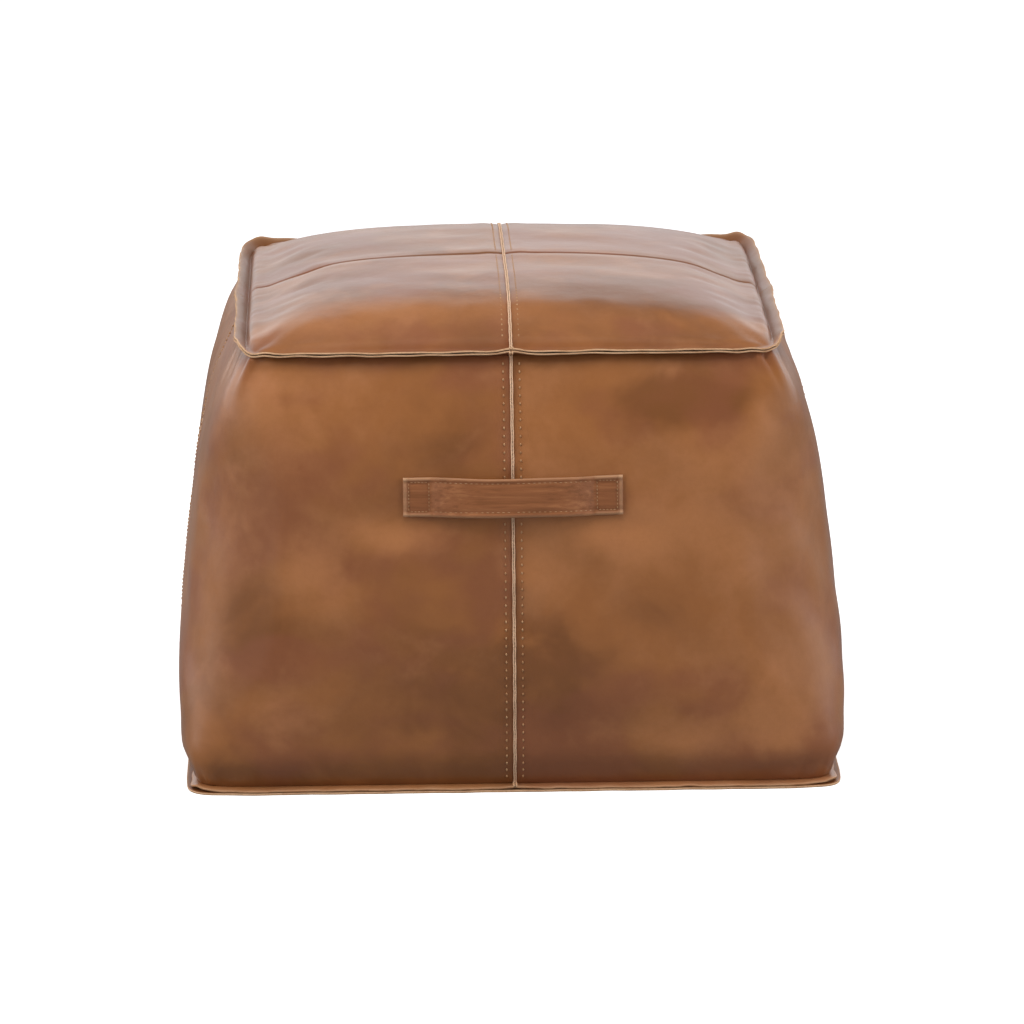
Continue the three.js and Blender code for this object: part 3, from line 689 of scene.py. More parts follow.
def crown(p, q):
    """The top's middle surface as it ends up."""
    points = drawn_crown(p, q)
    if "crown" in GIVE:
        count = GIVE["crown"].shape[0]
        rows, columns = [(place + 1) / 2 * (count - 1) for place in (q, p)]
        free = np.clip(inward(p, q) * cover().top_half / (12 * MM), 0, 1)
        points = points + smooth_sample(GIVE["crown"], rows, columns, False) * free[..., None]
    return points + crown_normals(p, q) * crown_relief(p, q)[..., None]


# ---- Flanges -----------------------------------------------------------------------------------


def flange_offset(a, d, layer, top):
    """Sideways and upward shift of a flange at a distance d past its seam. Layer 1 is the upper."""
    reach = d / cover().flange
    stack = cover().pared + cover().layer_gap
    front = np.clip((1.13 - np.abs(from_front(a))) / 0.10, 0, 1)
    middle = from_middle(a, cover().top_half)
    corner = from_corner(a, cover().top_half)
    if top:
        lift = mix(0.72, 0.22, front) + mix(0.08, 0.03, front) * waves(a, (7, 13, 19), 11)
        lift = lift + mix(0.45, -0.12, front) * hump(corner, 26 * MM)
        rise = lift * d + mix(0.6, 2.0, front) * MM * hump(middle, 9 * MM) * reach
        rise = rise + mix(0.4, 0.3, front) * MM * waves(a, (23, 37, 53), 12) * reach
        rise = rise + 0.9 * MM * waves(a, (41, 59), 13) * hump(corner, 30 * MM) * reach**1.5
        spread = 0.16 * MM * (1 + waves(a, (31, 47), 14)) * reach
        wander = 0.4 * MM * waves(a, (29, 43, 67), 15) * reach
        wander = wander - mix(4.0, 5.5, front) * MM * hump(corner, 30 * MM) * reach
        wander = wander + (1 - front) * 1.8 * MM * hump(middle, 24 * MM) * reach
    else:
        rise = 0.30 * MM * np.abs(waves(a, (33, 49, 71), 16)) * reach * (1.6 if layer > 0 else 0.15)
        if layer > 0:
            rise = rise + 2.0 * MM * (1 - reach**1.6) + 1.2 * MM * hump(middle, 8 * MM) * reach
            rise = rise + 2.4 * MM * hump(corner, 11 * MM) * reach
        spread = 0.15 * MM * reach
        tucked = 4.2 * MM * (1 - front) * (1 - hump(corner, 13 * MM)) + 1.6 * MM * hump(corner, 24 * MM)
        wander = (0.6 * MM * waves(a, (27, 41, 63), 17) - tucked) * reach
    return wander, rise + layer * (stack / 2 + spread)


def flange_point(a, d, layer, top):
    """A point of a flange's middle surface."""
    half = cover().top_half if top else cover().base_half
    seam = cover().top_seam if top else cover().pared + cover().layer_gap / 2
    wander, rise = flange_offset(a, d, layer, top)
    p, q = square_point(a)
    x, y = plan_point(p, q, half + d + wander, CORNER_AT_SEAM)
    return np.stack([x, y, seam + rise + 0 * x], -1)


FLANGE_STEPS = (0.06, 0.16, 0.32, 0.5, 0.68, 0.84, 1.0)


def flange_rows():
    return [share * cover().flange for share in FLANGE_STEPS]


# ---- Making pieces -----------------------------------------------------------------------------


def finished(name, bm, finishes, body="root", stands_for=(), smooth=True):
    """Turns a bmesh into a piece with its finishes, riding on a body."""
    mesh = bpy.data.meshes.new(name)
    bm.to_mesh(mesh)
    bm.free()
    mesh.polygons.foreach_set("use_smooth", [smooth] * len(mesh.polygons))
    piece = bpy.data.objects.new(name, mesh)
    bpy.context.scene.collection.objects.link(piece)
    for finish in finishes:
        mesh.materials.append(finish_of(finish))
    if body:
        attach(piece, body)
    if stands_for:
        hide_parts(*stands_for)
    return piece


def lattice(points, **marks):
    """A sheet of quads through a grid of points, with a number stored at each point per mark."""
    rows, columns = points.shape[:2]
    bm = bmesh.new()
    bmesh.ops.create_grid(bm, x_segments=columns - 1, y_segments=rows - 1, size=1)
    layers = {name: bm.verts.layers.float.new(name) for name in marks}
    for vertex in bm.verts:
        i = round((vertex.co.y + 1) / 2 * (rows - 1))
        j = round((vertex.co.x + 1) / 2 * (columns - 1))
        vertex.co = points[i, j]
        for name, layer in layers.items():
            vertex[layer] = marks[name][i, j]
    return bm


def thicken(piece, thickness, rim=1):
    """Gives a sheet its thickness, half to each side, with the finish of that number on its rim."""
    solid = piece.modifiers.new("Thickness", "SOLIDIFY")
    solid.thickness = thickness
    solid.offset = 0.0
    solid.use_rim = True
    solid.material_offset_rim = rim
    return solid


def swept(points, sides, ups, profile, **marks):
    """A closed rod: a profile of (side, up) pairs carried along points."""
    ring = np.array(list(profile) + [profile[0]])
    surface = (
        points[:, None, :]
        + sides[:, None, :] * ring[None, :, 0:1]
        + ups[:, None, :] * ring[None, :, 1:2]
    )
    spread = {name: np.repeat(values[:, None], len(ring), 1) for name, values in marks.items()}
    bm = lattice(surface, **spread)
    close_ends(bm)
    return bm


def close_ends(bm):
    """Joins a tube's long edge, fills its two ends and keeps their rims crisp."""
    bmesh.ops.remove_doubles(bm, verts=bm.verts, dist=1e-6)
    rims = [e for e in bm.edges if e.is_boundary]
    for rim in rims:
        rim.smooth = False
    bmesh.ops.holes_fill(bm, edges=rims)
    bmesh.ops.recalc_face_normals(bm, faces=bm.faces)


def rounded_bar(width, low, high):
    """Profile of a bar with a rounded top: pairs of sideways and upward distances."""
    radius = min(width / 2, (high - low) / 2)
    arc = [math.pi / 2 * k / 3 for k in range(4)]
    inner, level = width / 2 - radius, high - radius
    right = [(inner + radius * math.cos(w), level + radius * math.sin(w)) for w in arc]
    left = [(-x, z) for x, z in reversed(right)]
    return [(width / 2, low), *right, *left, (-width / 2, low)]


def unit(vectors):
    return vectors / np.maximum(np.linalg.norm(vectors, axis=-1, keepdims=True), 1e-12)


def evenly(points, pitch):
    """Places along a line of points, one pitch apart, as (segment numbers, fractions)."""
    steps = np.linalg.norm(np.diff(points, axis=0), axis=1)
    run = np.concatenate([[0], np.cumsum(steps)])
    count = int(run[-1] / pitch)
    wanted = (run[-1] - (count - 1) * pitch) / 2 + np.arange(count) * pitch
    number = np.clip(np.searchsorted(run, wanted) - 1, 0, len(steps) - 1)
    return number, (wanted - run[number]) / steps[number]


def add_stitches(bm, points, ups, size, sink=0.25):
    """A row of stitches along a line: each a small flattened bead lying along it."""
    stitch, thread, pitch = size
    number, share = evenly(points, pitch)
    turns = []
    for k, f in zip(number, share):
        place = mix(points[k], points[k + 1], f)
        along = unit(points[k + 1] - points[k])
        up = unit(mix(ups[k], ups[k + 1], f))
        side = unit(np.cross(up, along))
        up = np.cross(along, side)
        turn = np.eye(4)
        turn[:3, 0] = along * stitch / 2
        turn[:3, 1] = side * thread / 2
        turn[:3, 2] = up * thread / 2
        turn[:3, 3] = place + up * thread * (0.5 - sink) * 0.6
        turns.append(Matrix(turn.tolist()))
    add_beads(bm, turns, 6, 5)


def add_beads(bm, turns, around, down):
    """Adds one small rounded bead for each matrix, a few at a time, which is quicker."""
    for first in range(0, len(turns), 40):
        few = bmesh.new()
        for turn in turns[first : first + 40]:
            bmesh.ops.create_uvsphere(few, u_segments=around, v_segments=down, radius=1, matrix=turn)
        absorb(bm, few)


def absorb(bm, other):
    """Moves another bmesh's geometry into this one."""
    spare = bpy.data.meshes.new("spare")
    other.to_mesh(spare)
    other.free()
    bm.from_mesh(spare)
    bpy.data.meshes.remove(spare)


# Sizes of a stitch: its length, the thread's thickness and the pitch.
CLOSING_STITCH = (1.7 * MM, 0.6 * MM, 3.0 * MM)
ZIP_STITCH = (2.6 * MM, 0.6 * MM, 4.2 * MM)
STRAP_STITCH = (2.4 * MM, 0.6 * MM, 4.0 * MM)
BOX_STITCH = (1.9 * MM, 0.7 * MM, 2.7 * MM)


def stitch_size():
    return seams().stitch, seams().thread, seams().pitch


# ---- Stuffing ----------------------------------------------------------------------------------


CLOTH = {
    "quality": 6,
    "mass": 0.35,
    "tension_stiffness": 22,
    "compression_stiffness": 22,
    "shear_stiffness": 8,
    "bending_stiffness": 0.8,
    "use_pressure": True,
    "uniform_pressure_force": 4,
    "shrink_min": -0.012,
    "vertex_group_mass": "Seams",
}
CLOTH_FRAMES = 20
WALL_GRID = (161, 34)
CROWN_GRID = 57


def inflate(name, points, wraps):
    """Blows a sheet up from inside as cloth, held at its edges, and returns how far it moved."""
    rows, columns = points.shape[:2]
    number = np.arange(rows * columns, dtype=float).reshape(rows, columns)
    bm = lattice(points, place=number)
    if wraps:
        bmesh.ops.remove_doubles(bm, verts=bm.verts, dist=1e-6)
    held = {v for e in bm.edges if e.is_boundary for v in e.verts}
    bm.verts.index_update()
    pins = [v.index for v in held]
    layer = bm.verts.layers.float["place"]
    places = [round(v[layer]) for v in bm.verts]
    mesh = bpy.data.meshes.new(name)
    bm.to_mesh(mesh)
    bm.free()
    sheet = bpy.data.objects.new(name, mesh)
    scene = bpy.context.scene
    scene.collection.objects.link(sheet)
    sheet.vertex_groups.new(name="Seams").add(pins, 1.0, "REPLACE")
    cloth = sheet.modifiers.new("Stuffing", "CLOTH")
    for setting, value in CLOTH.items():
        setattr(cloth.settings, setting, value)
    cloth.settings.effector_weights.gravity = 0
    cloth.collision_settings.use_collision = False
    cloth.point_cache.frame_start = 1
    cloth.point_cache.frame_end = CLOTH_FRAMES
    for frame_number in range(1, CLOTH_FRAMES + 1):
        scene.frame_set(frame_number)
    shape = sheet.evaluated_get(bpy.context.evaluated_depsgraph_get()).to_mesh()
    after = np.zeros(len(shape.vertices) * 3)
    shape.vertices.foreach_get("co", after)
    moved = np.zeros((rows * columns, 3))
    moved[places] = after.reshape(-1, 3) - points.reshape(-1, 3)[places]
    moved = moved.reshape(rows, columns, 3)
    if wraps:
        moved[:, -1] = moved[:, 0]
    bpy.data.objects.remove(sheet)
    bpy.data.meshes.remove(mesh)
    scene.frame_set(1)
    return moved


def capped(moved, most):
    """Keeps every move under a limit, softly."""
    size = np.linalg.norm(moved, axis=-1, keepdims=True)
    return moved * (most * np.tanh(size / most) / np.maximum(size, 1e-9))


class POUF_OT_stuffing(bpy.types.Operator):
    """Blow the cover up from inside and keep how far the leather gives"""

    bl_idname = "pouf.stuffing"
    bl_label = "Stuff the cover"

    def execute(self, context):
        shrunk = 3.0 * MM
        round_count, up_count = WALL_GRID
        grid_a, grid_t = np.meshgrid(np.linspace(0, 8, round_count), np.linspace(0, 1, up_count))
        start = drawn_wall(grid_a, grid_t)
        outward = normals_of(drawn_wall, grid_a, np.clip(grid_t, 0.02, 0.98))
        inset = outward * (shrunk * np.sin(np.pi * grid_t) ** 0.5)[..., None]
        moved = inflate("stuffed wall", start - inset, True) - inset
        GIVE["wall"] = capped(moved, cover().give)[:, :-1]
        line = np.linspace(-1, 1, CROWN_GRID)
        p, q = np.meshgrid(line, line)
        start = drawn_crown(p, q)
        edge = np.clip(inward(p, q) * 6, 0, 1)
        inset = np.stack([0 * p, 0 * p, shrunk * edge], -1)
        moved = inflate("stuffed crown", start - inset, False) - inset
        GIVE["crown"] = capped(moved, cover().give)
        return {"FINISHED"}


# ---- Cover -------------------------------------------------------------------------------------


def dense(points_of_interest, ends, coarse):
    """Places from one end to the other, coarse apart, with extra ones close to a place of interest."""
    low, high = ends
    places = list(np.arange(low, high, coarse)) + [high]
    for place, offsets in points_of_interest:
        for offset in offsets:
            for sign in (-1, 1):
                if low < place + sign * offset < high:
                    places.append(place + sign * offset)
    places = sorted(places)
    kept = [places[0]]
    for place in places[1:]:
        if place - kept[-1] > coarse * 0.12:
            kept.append(place)
    kept[-1] = high
    return np.array(kept)


# Clouds in the dye, and pale spots painted as highlights where the wall has sheen: below the strap's sewn
# ends and near the top corners. Columns: across and up on the front wall in mm, reach across, reach up, and
# tone from dark (below 0) to pale (above 0).
FRONT_CLOUDS_AND_SHEEN = (
    (130, 297, 75, 19, -1.1),
    (-40, 275, 40, 50, -0.3),
    (-150, 290, 50, 35, 0.4),
    (-60, 100, 60, 60, -0.15),
    (-205, 130, 34, 30, -0.8),
    (40, 100, 34, 36, -0.7),
    (110, 150, 40, 24, -0.5),
    (-150, 165, 34, 22, 0.9),
    (-175, 56, 36, 20, 0.9),
    (200, 60, 26, 30, 0.8),
    (140, 45, 60, 18, 0.6),
    (20, 190, 18, 34, 0.6),
    # Painted highlights: sheen below the strap's sewn ends.
    (-90, 199, 40, 14, 0.9),
    (88, 199, 40, 14, 1.0),
    (95, 175, 60, 30, 0.4),
    (170, 225, 40, 60, 0.35),
    # Painted highlights: sheen near the top corners.
    (-186, 298, 12, 16, 0.8),
    (190, 285, 18, 22, 0.7),
)


def wall_tone(a, t):
    """Paler and darker parts of the side cover: clouds in the dye, painted highlights on the front, painted
    shade along the seam and under the top flange, and a darkening towards the floor that is partly painted
    shade.
    """
    half = wall_half(t)
    z = wall_height(t)
    # Darker towards the floor: partly the hide's own darker dye, partly painted shade.
    tone = 0.25 - 0.45 * hump(z, 80 * MM) + 0.15 * waves(a + 0.8 * t, (3, 5, 8), 21)
    tone = tone + spots(from_front(a) * half, z, FRONT_CLOUDS_AND_SHEEN)
    # Painted shade along the groove of the seam up the middle of each face.
    tone = tone - 0.5 * hump(from_middle(a, half), 5 * MM)
    # Painted shadow just under the top flange.
    return tone - 0.7 * hump((1 - t) * WALL_LENGTH, 9 * MM)


def side_panel(quarter, number, a_from):
    """One side panel, wrapped round a corner, with both its flange edges."""
    # The lists of distances in mm set where the mesh is finest: beside the seams and the corner.
    half = cover().base_half
    near = [k * MM / half for k in (1.2, 2.4, 3.6, 4.8, 6.2, 7.6, 9.5, 12, 15)]
    corner = [k * MM / half for k in (2, 4, 6.5, 9, 12, 15, 19, 23, 28)]
    interest = [(a_from, near), (a_from + 2, near), (a_from + 1, corner)]
    gap = 0.25 * MM / half
    a = dense(interest, (a_from + gap, a_from + 2 - gap), 4.2 * MM / half)
    steps = [k * MM / WALL_LENGTH for k in (1, 2.2, 3.6, 5.2, 7, 9, 11.5)]
    t = dense([(0, steps), (1, steps)], (0, 1), 3.9 * MM / WALL_LENGTH)
    grid_a, grid_t = np.meshgrid(a, t)
    points = wall(grid_a, grid_t)
    points[0, :, 2] = flange_point(a, 0 * a, 1, False)[:, 2]
    points[-1] = flange_point(a, 0 * a, -1, True)
    low = [flange_point(a, d + 0 * a, 1, False) for d in reversed(flange_rows())]
    high = [flange_point(a, d + 0 * a, -1, True) for d in flange_rows()]
    points = np.concatenate([low, points, high])
    tone = wall_tone(grid_a, grid_t)
    low_tone = np.repeat(tone[:1] + 0.55, len(low), 0)
    high_tone = np.repeat(tone[-1:] + 0.3, len(high), 0)
    tone = np.concatenate([low_tone, tone, high_tone])
    wear = np.zeros(tone.shape)
    for k, share in enumerate(FLANGE_STEPS):
        wear[len(low) - 1 - k] = 0.10 + 0.55 * share**4
        wear[len(low) + len(t) + k] = 0.05 + 0.6 * share**6
    wear *= 0.8 + 0.2 * waves(a, (37, 61, 89), 22)[None, :]
    # The cut edges of the base flange, and of the wall just above it, are drawn darker, towards tan.
    aged = np.zeros(tone.shape)
    aged[: len(low) + 4] = 1
    bm = lattice(points, shade=tone, wear=wear, aged=aged, hide=np.full(tone.shape, 0.31 * number))
    name = f"side_cover_{quarter}"
    piece = finished(name, bm, ("Hide", "Raw edge"), "root", [f"side_panel_{quarter}"])
    thicken(piece, cover().pared)


def crown_tone(p, q):
    """Paler and darker parts of the top, with painted shade along its seams and in the groove at its edge."""
    half = cover().top_half
    tone = 0.05 + 0.2 * np.sin(3.1 * p + 1.0) * np.cos(2.3 * q)
    tone = tone - 0.7 * hump(q + 0.66, 0.2) * hump(p - 0.6, 0.4)
    tone = tone + 0.45 * hump(q + 0.80, 0.12) - 0.25 * hump(q + 0.35, 0.25) * hump(p + 0.6, 0.3)
    # Painted shade along the two seams of the top, darkest along the seam from side to side.
    tone = tone - 0.2 * hump(np.abs(p) * half, 3 * MM) - 2.2 * hump(np.abs(q) * half, 2.2 * MM)
    # Painted shade in the groove between the top and its flange, on the left, right and rear.
    return tone - 1.6 * away_from_front(p, q) * hump(inward(p, q) * half, 4 * MM)


def away_from_front(p, q):
    """0 along the front edge of the top, 1 along its other edges."""
    return np.clip((np.maximum(np.abs(p), q) + q) / 0.35, 0, 1)


def top_quarter(quarter, number, sign_x, sign_y):
    """One quarter of the top, with its flange edge."""
    half = cover().top_half
    near = [k * MM / half for k in (1.2, 2.4, 3.6, 5, 6.4, 8, 10, 13)]
    edge = [k * MM / half for k in (0.6, 1.4, 2.4, 3.6, 5, 6.8, 9, 11.5)]
    shares = dense([(0, near), (1, edge)], (0.25 * MM / half, 1), 4.4 * MM / half)
    outside = [1 + d / half for d in flange_rows()]
    lines = np.concatenate([shares, outside])
    line_p = lines if sign_x > 0 else -lines[::-1]
    line_q = lines if sign_y > 0 else -lines[::-1]
    p, q = np.meshgrid(line_p, line_q)
    ring = np.maximum(np.maximum(np.abs(p), np.abs(q)), 1)
    past = (ring - 1) * half
    inner_p, inner_q = p / ring, q / ring
    points = crown(inner_p, inner_q)
    around = np.where(
        np.abs(inner_p) >= np.abs(inner_q),
        np.where(inner_p > 0, 2 + inner_q, 6 - inner_q),
        np.where(inner_q < 0, inner_p, 4 - inner_p),
    )
    rim = flange_point(around, past, 1, True)
    seam = flange_point(around, 0 * past, 1, True)
    blend = np.where(ring > 1, 0, hump(inward(inner_p, inner_q) * half, 3 * MM))
    points = points + blend[..., None] * (seam - drawn_crown(inner_p, inner_q)) * [0, 0, 1]
    points = np.where((ring > 1)[..., None], rim, points)
    tone = crown_tone(inner_p, inner_q)
    share = np.clip(past / cover().flange, 0, 1)
    wear = 0.05 * (share > 0) + 0.6 * share**6
    # Painted shade: the flange is darker on the left, right and rear, where its inner face stands in the
    # groove. Along the front it is paler.
    tone = tone + mix(0.6, -1.5, away_from_front(inner_p, inner_q)) * (share > 0) * (1 - share**3)
    bm = lattice(points, shade=tone, wear=wear, hide=np.full(tone.shape, 0.47 * number + 1.3))
    name = f"top_cover_{quarter}"
    piece = finished(name, bm, ("Hide", "Raw edge"), "root", [f"top_panel_{quarter}"])
    thicken(piece, cover().pared)


class POUF_OT_side_cover(bpy.types.Operator):
    """Make the four side panels, each wrapped round one corner"""

    bl_idname = "pouf.side_cover"
    bl_label = "Side cover"

    def execute(self, context):
        side_panel("front_right", 1, 0)
        side_panel("rear_right", 2, 2)
        side_panel("rear_left", 3, 4)
        side_panel("front_left", 4, 6)
        return {"FINISHED"}


class POUF_OT_top_cover(bpy.types.Operator):
    """Make the four quarters of the top"""

    bl_idname = "pouf.top_cover"
    bl_label = "Top cover"

    def execute(self, context):
        top_quarter("front_left", 1, -1, -1)
        top_quarter("front_right", 2, 1, -1)
        top_quarter("rear_left", 3, -1, 1)
        top_quarter("rear_right", 4, 1, 1)
        return {"FINISHED"}


# ---- Seams -------------------------------------------------------------------------------------


def wall_line(middle, offset, t):
    """A line up the wall at a distance beside a face's seam, with its normals."""
    a = middle + offset / wall_half(t)
    points = wall(a, t)
    ups = normals_of(drawn_wall, a, np.clip(t, 0.01, 0.99))
    return points + ups * cover().hide / 2, ups


def crown_line(along_y, offset, s):
    """A line over the top at a distance beside a seam, with its normals."""
    beside = 0 * s + offset / cover().top_half
    p, q = (beside, s) if along_y else (s, beside)
    ups = crown_normals(p, q)
    return crown(p, q) + ups * cover().hide / 2, ups


def raw_ridges(name, points, ups):
    """The raw edges of the two panels, which stand up side by side along a seam."""
    along = unit(np.gradient(points, axis=0))
    sides = unit(np.cross(along, ups))
    profile = rounded_bar(1.0 * MM, -1.2 * MM, seams().ridge)
    for side, offset in (("left", -seams().split), ("right", seams().split)):
        wobble = 0.12 * MM * np.sin(np.arange(len(points)) * 0.9 + offset * 9000)
        bm = swept(points + sides * (offset + wobble)[:, None], sides, ups, profile)
        finished(f"{name}_{side}", bm, ("Rubbed edge",), "root")


class POUF_OT_wall_seams(bpy.types.Operator):
    """Make the raised raw edges and the stitches up the middle of each face"""

    bl_idname = "pouf.wall_seams"
    bl_label = "Wall seams"

    def execute(self, context):
        t = np.linspace(0.004, 0.993, 130)
        for number, face in enumerate(FACES):
            middle = 2.0 * number
            points, ups = wall_line(middle, 0, t)
            raw_ridges(f"seam_edge_{face}", points, ups)
            bm = bmesh.new()
            for offset in (-seams().row, seams().row):
                line, line_ups = wall_line(middle, offset, np.linspace(0.012, 0.985, 200))
                if face == "front":
                    add_front_rows(bm, line, line_ups)
                else:
                    add_stitches(bm, line, line_ups, stitch_size())
            add_stitches(bm, points + ups * 0.55 * MM, ups, CLOSING_STITCH)
            finished(f"seam_stitches_{face}", bm, ("Thread",), "root")
        return {"FINISHED"}


def add_front_rows(bm, line, ups):
    """The front's rows stop behind the handle, where the strap hides them."""
    clear = np.abs(line[:, 2] - handle().level) > 4 * MM
    split = int(np.argmax(~clear))
    after = len(clear) - int(np.argmax(~clear[::-1]))
    add_stitches(bm, line[:split], ups[:split], stitch_size())
    add_stitches(bm, line[after:], ups[after:], stitch_size())


class POUF_OT_top_seams(bpy.types.Operator):
    """Make the raised raw edges and the stitches of the top's front-to-rear seam"""

    bl_idname = "pouf.top_seams"
    bl_label = "Top seams"

    def execute(self, context):
        s = np.sin(np.linspace(-1, 1, 170) * np.pi / 2) * 0.9995
        points, ups = crown_line(True, 0, s)
        raw_ridges("top_edge", points, ups)
        bm = bmesh.new()
        for offset in (-seams().row, seams().row):
            for low, top in ((-0.97, -0.035), (0.035, 0.97)):
                line, line_ups = crown_line(True, offset, np.linspace(low, top, 110))
                add_stitches(bm, line, line_ups, stitch_size(), 1.0)
        add_stitches(bm, points + ups * 0.5 * MM, ups, CLOSING_STITCH)
        finished("top_stitches", bm, ("Thread",), "root")
        return {"FINISHED"}


class POUF_OT_flange_details(bpy.types.Operator):
    """Make the folded ends of the seams on the flanges"""

    bl_idname = "pouf.flange_details"
    bl_label = "Flange details"

    def execute(self, context):
        reach = np.linspace(0.5 * MM, cover().flange + 0.2 * MM, 14)
        for number, face in enumerate(FACES):
            middle = 2.0 * number
            for top, layer, word in ((True, 1, "top"), (True, -1, "under"), (False, 1, "base")):
                if word == "top" and face in ("left", "right"):
                    continue
                for side, offset in (("left", -0.95 * MM), ("right", 0.95 * MM)):
                    half = cover().top_half if top else cover().base_half
                    a = middle + offset / half + 0 * reach
                    points = flange_point(a, reach, layer, top)
                    along = unit(np.gradient(points, axis=0))
                    beside = flange_point(a + 0.01, reach, layer, top) - points
                    ups = -unit(np.cross(along, unit(beside)))
                    ups = ups * np.sign(ups[:, 2:3]) * layer
                    sides = unit(np.cross(along, ups))
                    low = 0.5 * MM
                    high = cover().hide / 2 + (0.9 if top else 0.8) * MM
                    bm = swept(points, sides, ups, rounded_bar(1.5 * MM, low, high))
                    finished(f"{word}_flange_edge_{face}_{side}", bm, ("Raw edge",), "root")
        return {"FINISHED"}


# ---- Base and zip ------------------------------------------------------------------------------

SHELF_Z = 7.3 * MM  # height of the leather beside the zip
SHELF_HALF = 18 * MM
FOOT_HALF = 42 * MM  # the base lies on the floor from here outwards
SHELF_REACH = 210 * MM
RUNOUT = 24 * MM
TAPE_REACH = 196 * MM


def channel(x, y):
    """1 over the zip, 0 where the base lies on the floor."""
    across = np.clip((FOOT_HALF - np.abs(y)) / (FOOT_HALF - SHELF_HALF), 0, 1)
    along = np.clip((SHELF_REACH + RUNOUT - np.abs(x)) / RUNOUT, 0, 1)
    share = across * along
    return share * share * (3 - 2 * share)


def base_panel(side, sign):
    """Half of the base: from the zip, over its raised channel, out to the base flange."""
    half = cover().base_half
    u = np.sin(np.linspace(-1, 1, 131) * 1.45) / math.sin(1.45)
    v = np.linspace(0, 1, 56)
    grid_u, grid_v = np.meshgrid(u, v)
    outline = half + cover().flange
    x_edge = outline * grid_u
    y_edge = outline * (1 - np.abs(grid_u * 0.99965) ** CORNER_AT_SEAM) ** (1 / CORNER_AT_SEAM)
    around = grid_u if sign < 0 else 4 - grid_u
    wander, _ = flange_offset(around, cover().flange, -1, False)
    ends = np.clip((np.abs(x_edge) - TAPE_REACH) / (0.8 * MM), 0, 1)
    mouth = mix(bpy.context.scene.pouf_zip.mouth, 0.3 * MM, ends)
    y = mix(mouth, y_edge + wander * 0.8, grid_v**0.9)
    raised = channel(x_edge, y)
    z = mix(cover().hide / 2, SHELF_Z, raised)
    z = z + 0.25 * MM * np.sin(x_edge * 70 + 2 * sign) * np.sin(y * 55) * raised
    points = np.stack([x_edge, sign * y, z], -1)
    if sign < 0:
        points = points[::-1]
    points = points[:, ::-1]
    tone = -0.15 + 0.25 * np.sin(points[..., 0] * 21) * np.cos(points[..., 1] * 17)
    wear = 0.15 * channel(points[..., 0], points[..., 1])
    edge = hump(np.abs(np.max(np.abs(points[..., :2]), -1) - outline), 1.6 * MM)
    bm = lattice(points, shade=tone, wear=wear + 0.7 * edge, hide=np.full(tone.shape, 2.1 + sign))
    finishes = ("Base hide", "Raw edge")
    piece = finished(f"base_cover_{side}", bm, finishes, "root", [f"base_panel_{side}"])
    thicken(piece, cover().hide)


class POUF_OT_base(bpy.types.Operator):
    """Make the two halves of the base and the stitches along the zip"""

    bl_idname = "pouf.base"
    bl_label = "Base"

    def execute(self, context):
        base_panel("front", -1)
        base_panel("rear", 1)
        bm = bmesh.new()
        x = np.linspace(-TAPE_REACH, TAPE_REACH, 260)
        for sign in (-1, 1):
            for inset in (3 * MM, 7.5 * MM):
                y = sign * (bpy.context.scene.pouf_zip.mouth + inset) + 0 * x
                z = mix(cover().hide / 2, SHELF_Z, channel(x, y)) - cover().hide / 2
                line = np.stack([x, y, z], -1)
                add_stitches(bm, line, np.tile([0.0, 0.0, -1.0], (len(x), 1)), ZIP_STITCH)
        finished("base_stitches", bm, ("Thread",), "root")
        return {"FINISHED"}


def boxed(bm, low, high, softness=0.25, segments=2):
    """A block between two corners with rounded edges, added to a bmesh."""
    size = Vector(high) - Vector(low)
    place = Matrix.Translation((Vector(low) + Vector(high)) / 2) @ Matrix.Diagonal((*size, 1))
    made = bmesh.ops.create_cube(bm, size=1, matrix=place)
    bmesh.ops.bevel(
        bm,
        geom=list({e for v in made["verts"] for e in v.link_edges}),
        offset=softness * min(size),
        segments=segments,
        profile=0.5,
        affect="EDGES",
        material=-1,
    )


def rounded_plate(bm, ends, breadth, levels, segments, powers, taper=0.0):
    """A flat plate with rounded corners, narrower at its low end by a taper. Returns its new faces."""
    made = bmesh.ops.create_circle(bm, segments=segments, cap_ends=True, radius=1)
    middle = sum(ends) / 2
    for vertex in made["verts"]:
        along, across = vertex.co.x, vertex.co.y
        grip = 1 - taper + taper * along
        vertex.co.x = middle + np.sign(along) * abs(along) ** powers[0] * (ends[1] - ends[0]) / 2
        vertex.co.y = np.sign(across) * abs(across) ** powers[1] * breadth / 2 * grip
        vertex.co.z = levels[0]
    faces = list({f for v in made["verts"] for f in v.link_faces})
    grown = bmesh.ops.extrude_face_region(bm, geom=faces)["geom"]
    lifted = [g for g in grown if isinstance(g, bmesh.types.BMVert)]
    bmesh.ops.translate(bm, verts=lifted, vec=(0, 0, levels[1] - levels[0]))
    return [g for g in grown if isinstance(g, bmesh.types.BMFace)]


def straight(line):
    """Sideways and upward directions for a straight run along X."""
    return np.tile([0.0, 1.0, 0.0], (len(line), 1)), np.tile([0.0, 0.0, 1.0], (len(line), 1))


